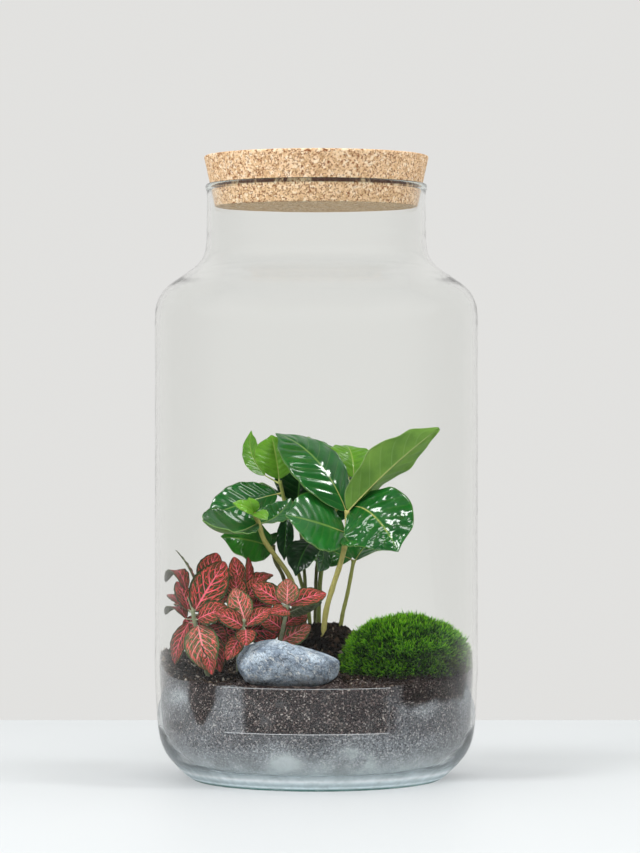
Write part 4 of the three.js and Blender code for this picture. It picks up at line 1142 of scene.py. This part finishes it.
class Blade:
    """One leaf: where its midrib runs and how its surface lies."""

    def __init__(self, spec, kind):
        self.spec = spec
        self.kind = kind
        self.start = np.array(spec.base, float)
        self.chord = np.array(spec.tip, float) - self.start
        self.length = np.linalg.norm(self.chord)
        self.run = self.chord / self.length
        face = np.array(spec.face, float)
        self.up = unit(face - self.run * face.dot(self.run))
        self.bow = self.up * spec.arch + np.cross(self.run, self.up) * spec.side
        self.phase = chance.uniform(0, 2 * np.pi)

    def middle(self, t):
        """Points of the midrib, with t from 0 at the base to 1 at the tip."""
        t = np.asarray(t, float)[:, None]
        eased = t ** self.spec.skew
        return self.start + self.chord * t + self.bow * self.length * 4 * eased * (1 - eased)

    def surface(self, t, s):
        """Points of the middle surface and the way its upper side faces, for each t and s."""
        spec = self.spec
        step = 0.001
        tangent = unit(self.middle(np.minimum(1, t + step)) - self.middle(np.maximum(0, t - step)))
        normal = unit(self.up - tangent * (tangent @ self.up)[:, None])
        turn = np.radians(spec.twist * t)[:, None]
        normal = normal * np.cos(turn) - np.cross(tangent, normal) * np.sin(turn)
        across = np.cross(tangent, normal)
        half = (spec.wide / 2 * self.kind.width(t))[:, None]
        fold = np.radians(spec.fold * (1 - 0.6 * t))[:, None]
        out = np.abs(s)[None]
        phase = 2 * np.pi * spec.waves * t[:, None] + np.where(s[None] > 0, 0, 1.9)
        lift = out * half * np.sin(fold) + spec.cup * half * out ** 2
        lift = lift + spec.wave * out ** 2 * np.sin(phase)
        lift = lift + self.relief(t[:, None], s[None], half)
        sideways = (s[None] * half * np.cos(fold))[..., None] * across[:, None]
        points = self.middle(t)[:, None] + sideways + lift[..., None] * normal[:, None]
        return points, np.broadcast_to(normal[:, None], points.shape)

    def relief(self, t, s, half):
        """The blade bulges between its sunken side veins, and its margin ripples."""
        kind = self.kind
        out = np.abs(s)
        phase = (t - kind.lean * out - kind.bend * out ** 2) * kind.veins
        bulge = np.abs(np.sin(np.pi * phase)) ** 0.75
        inner = 1 - np.exp(-(out / 0.11) ** 2)
        envelope = inner * (1 - out ** 5) * np.sin(np.pi * np.clip(t, 0, 1)) ** 0.4
        amount = kind.quilt * self.spec.quilt * np.minimum(1, half / 12)
        ripple = 0.35 * np.minimum(1, half / 8) * out ** 4
        ripple = ripple * np.sin(2 * np.pi * 5.5 * t + self.phase + 2 * (s > 0))
        return amount * bulge * envelope + ripple


def add_leaf(shape, blade, foot):
    """The blade, its stalk from its foot in the stem, and the midrib that goes on from the stalk."""
    spec, kind = blade.spec, blade.kind
    rows, columns = kind.rows, kind.columns
    if spec.wide < 10 and kind is COFFEE:
        rows, columns = rows // 2, 17
    share = np.linspace(0, 1, rows)
    # Rows lie closer together towards the base and the tip, and stop just short of both
    t = 0.008 + 0.989 * (0.5 * share + 0.5 * (0.5 - 0.5 * np.cos(np.pi * share)))
    s = np.linspace(-1, 1, columns)
    points, facing = blade.surface(t, s)
    if spec.crinkle:
        crease = np.abs(roughness_at(points.reshape(-1, 3), 7, 3)).reshape(points.shape[:2])
        margin = (1 - np.abs(s)[None] ** 6) * np.sin(np.pi * t)[:, None] ** 0.5
        points = points - facing * (1.4 * spec.crinkle * crease * margin)[..., None]
    look = looks(t[:, None], s[None], spec.light)
    half_thick = kind.thickness / 2
    size = rows * columns
    shape.add(points + facing * half_thick, grid_faces(rows, columns, flip=True), look, TOP)
    shape.add(points - facing * half_thick, grid_faces(rows, columns), look, BACK)
    wall = closing_faces(rows, columns, size)
    shape.faces.extend([[corner + shape.count - 2 * size for corner in face] for face in wall])
    shape.slots.extend([BACK] * len(wall))

    rib = blade.middle(np.linspace(0, RIB_END, RIB_POINTS))
    rib_facing = blade.surface(np.linspace(0.001, RIB_END, RIB_POINTS), np.array([0.0]))[1][:, 0]
    rib = rib - rib_facing * RIB_SUNK
    stalk = smooth_line([foot, (np.array(foot) + rib[0]) / 2 - rib_facing[0] * 0.3, rib[0], rib[3]], 4)[:-4]
    path = np.vstack([stalk, rib[1:]])
    thick = kind.stalk * min(1, 0.45 + spec.wide / 40)
    slim = 0.62 * thick
    radii = [*np.linspace(thick, slim, len(stalk)), *np.linspace(slim, 0.1, len(path) - len(stalk))]
    points, faces = tube(path, radii, 8)
    shape.add(points, faces, (0, 0, 0.5 + 0.5 * spec.light), STALK)


def add_stem(shape, grown):
    path = smooth_line(grown.stem, 8)
    along = np.linspace(0, 1, len(path))
    swell = 1 + 0.12 * np.sin(along * 19 + grown.radius * 7) ** 8
    points, faces = tube(path, grown.radius * (1.04 - 0.14 * along) * swell, 12)
    shape.add(points, faces, looks(np.repeat(along, 12), 0, grown.hue), STALK)


def nearest_on_stem(grown, place):
    """Where a stalk is rooted: inside the stem, a little way from its ends."""
    path = smooth_line(grown.stem, 14)[4:-2]
    return path[np.argmin(np.linalg.norm(path - np.array(place, float), axis=1))]


def plant_piece(name, grown, kind, materials, finish):
    shape = Shape()
    add_stem(shape, grown)
    for spec in grown.leaves:
        add_leaf(shape, Blade(spec, kind), nearest_on_stem(grown, spec.base))
    return shape.piece(name, materials, finish)


# The studio


def camera():
    made = link("camera", bpy.data.cameras.new("camera"))
    made.location = [value * MM for value in CAMERA_PLACE]
    made.rotation_euler = (math.pi / 2, 0, 0)
    made.data.lens = LENS
    made.data.sensor_width = SENSOR_WIDTH
    made.data.shift_x, made.data.shift_y = SHIFT
    made.data.clip_end = CLIP_END
    return made


def table():
    mesh = bpy.data.meshes.new("floor")
    reach, back = TABLE_REACH * MM, TABLE_BACK * MM
    corners = [(-reach, -reach, 0), (reach, -reach, 0), (reach, back, 0), (-reach, back, 0)]
    mesh.from_pydata(corners, [], [(0, 1, 2, 3)])
    floor = link("floor", mesh)
    finish = Finish("pale_table")
    tone = finish.ramp(finish.noise(600, 2), [(0.3, TABLE_TONES[0]), (0.7, TABLE_TONES[1])])
    mesh.materials.append(finish.finish(finish.principled(tone, 0.5, 0.15)))


def surroundings():
    """A pale wall all round. What mirrors it sees a darker room in front of the jar."""
    world = bpy.data.worlds.new("soft_light")
    nodes = Nodes(world)
    wall, room = [nodes.node("ShaderNodeBackground", {"Color": (*WALL_TONE, 1), "Strength": light}).outputs[0]
                  for light in (WALL_LIGHT, ROOM_LIGHT)]
    depth = nodes.node("ShaderNodeLightPath").outputs["Glossy Depth"]
    back = nodes.split(nodes.node("ShaderNodeTexCoord").outputs["Generated"])[1]
    ahead = nodes.node("ShaderNodeMapRange", {
        "Value": back, "From Min": 0.05, "From Max": 0.85, "To Min": 1, "To Max": 0}).outputs["Result"]
    dim = nodes.times(nodes.math("GREATER_THAN", depth, 0.5), ahead)
    nodes.node("ShaderNodeOutputWorld", {"Surface": nodes.mix(dim, wall, room)})
    return world


def left_out(name, piece):
    """A collection that takes a piece out of what a lamp lights or shades."""
    made = bpy.data.collections.new(name)
    made.objects.link(piece)
    for member in made.collection_objects:
        member.light_linking.link_state = "EXCLUDE"
    return made


def lamps(jar, soil):
    """The lamps don't show in the glass, and the soil casts no shadow from them."""
    unlit = left_out("not_lit_by_lamps", jar)
    unshaded = left_out("casts_no_lamp_shadow", soil)
    for name, place, size, power in LAMPS:
        lamp = link(name, bpy.data.lights.new(name, "AREA"))
        lamp.data.shape = "RECTANGLE"
        lamp.data.size, lamp.data.size_y = size
        lamp.data.energy = power
        lamp.location = place
        aim = Vector(LAMP_AIM) - Vector(place)
        lamp.rotation_euler = aim.to_track_quat("-Z", "Y").to_euler()
        lamp.light_linking.receiver_collection = unlit
        lamp.light_linking.blocker_collection = unshaded


# The scene

jar = glass_jar()
cork_stopper()
blank_label()
soil = soil_bed()
scene = bpy.context.scene
scene.view_settings.view_transform = "Standard"
scene.camera = camera()
scene.world = surroundings()
table()
lamps(jar, soil)
coffee_root_plug()
stone()
moss_cushion()
coffee_materials = [
    coffee_material(True), coffee_material(False),
    stem_material("coffee_stem", [
        (0.0, (0.07, 0.055, 0.02)), (0.4, (0.20, 0.25, 0.05)), (0.75, (0.52, 0.47, 0.14)),
        (1.0, (0.42, 0.50, 0.15))]),
]
nerve_materials = [
    nerve_material(True), nerve_material(False),
    stem_material("fittonia_stem", [(0.0, (0.16, 0.19, 0.09)), (1.0, (0.42, 0.45, 0.30))]),
]
for name, grown in COFFEE_SEEDLINGS.items():
    plant_piece(name, grown, COFFEE, coffee_materials, "coffee_leaf")
for name, grown in NERVE_PLANTS.items():
    plant_piece(name, grown, NERVE_PLANT, nerve_materials, "fittonia_leaf")
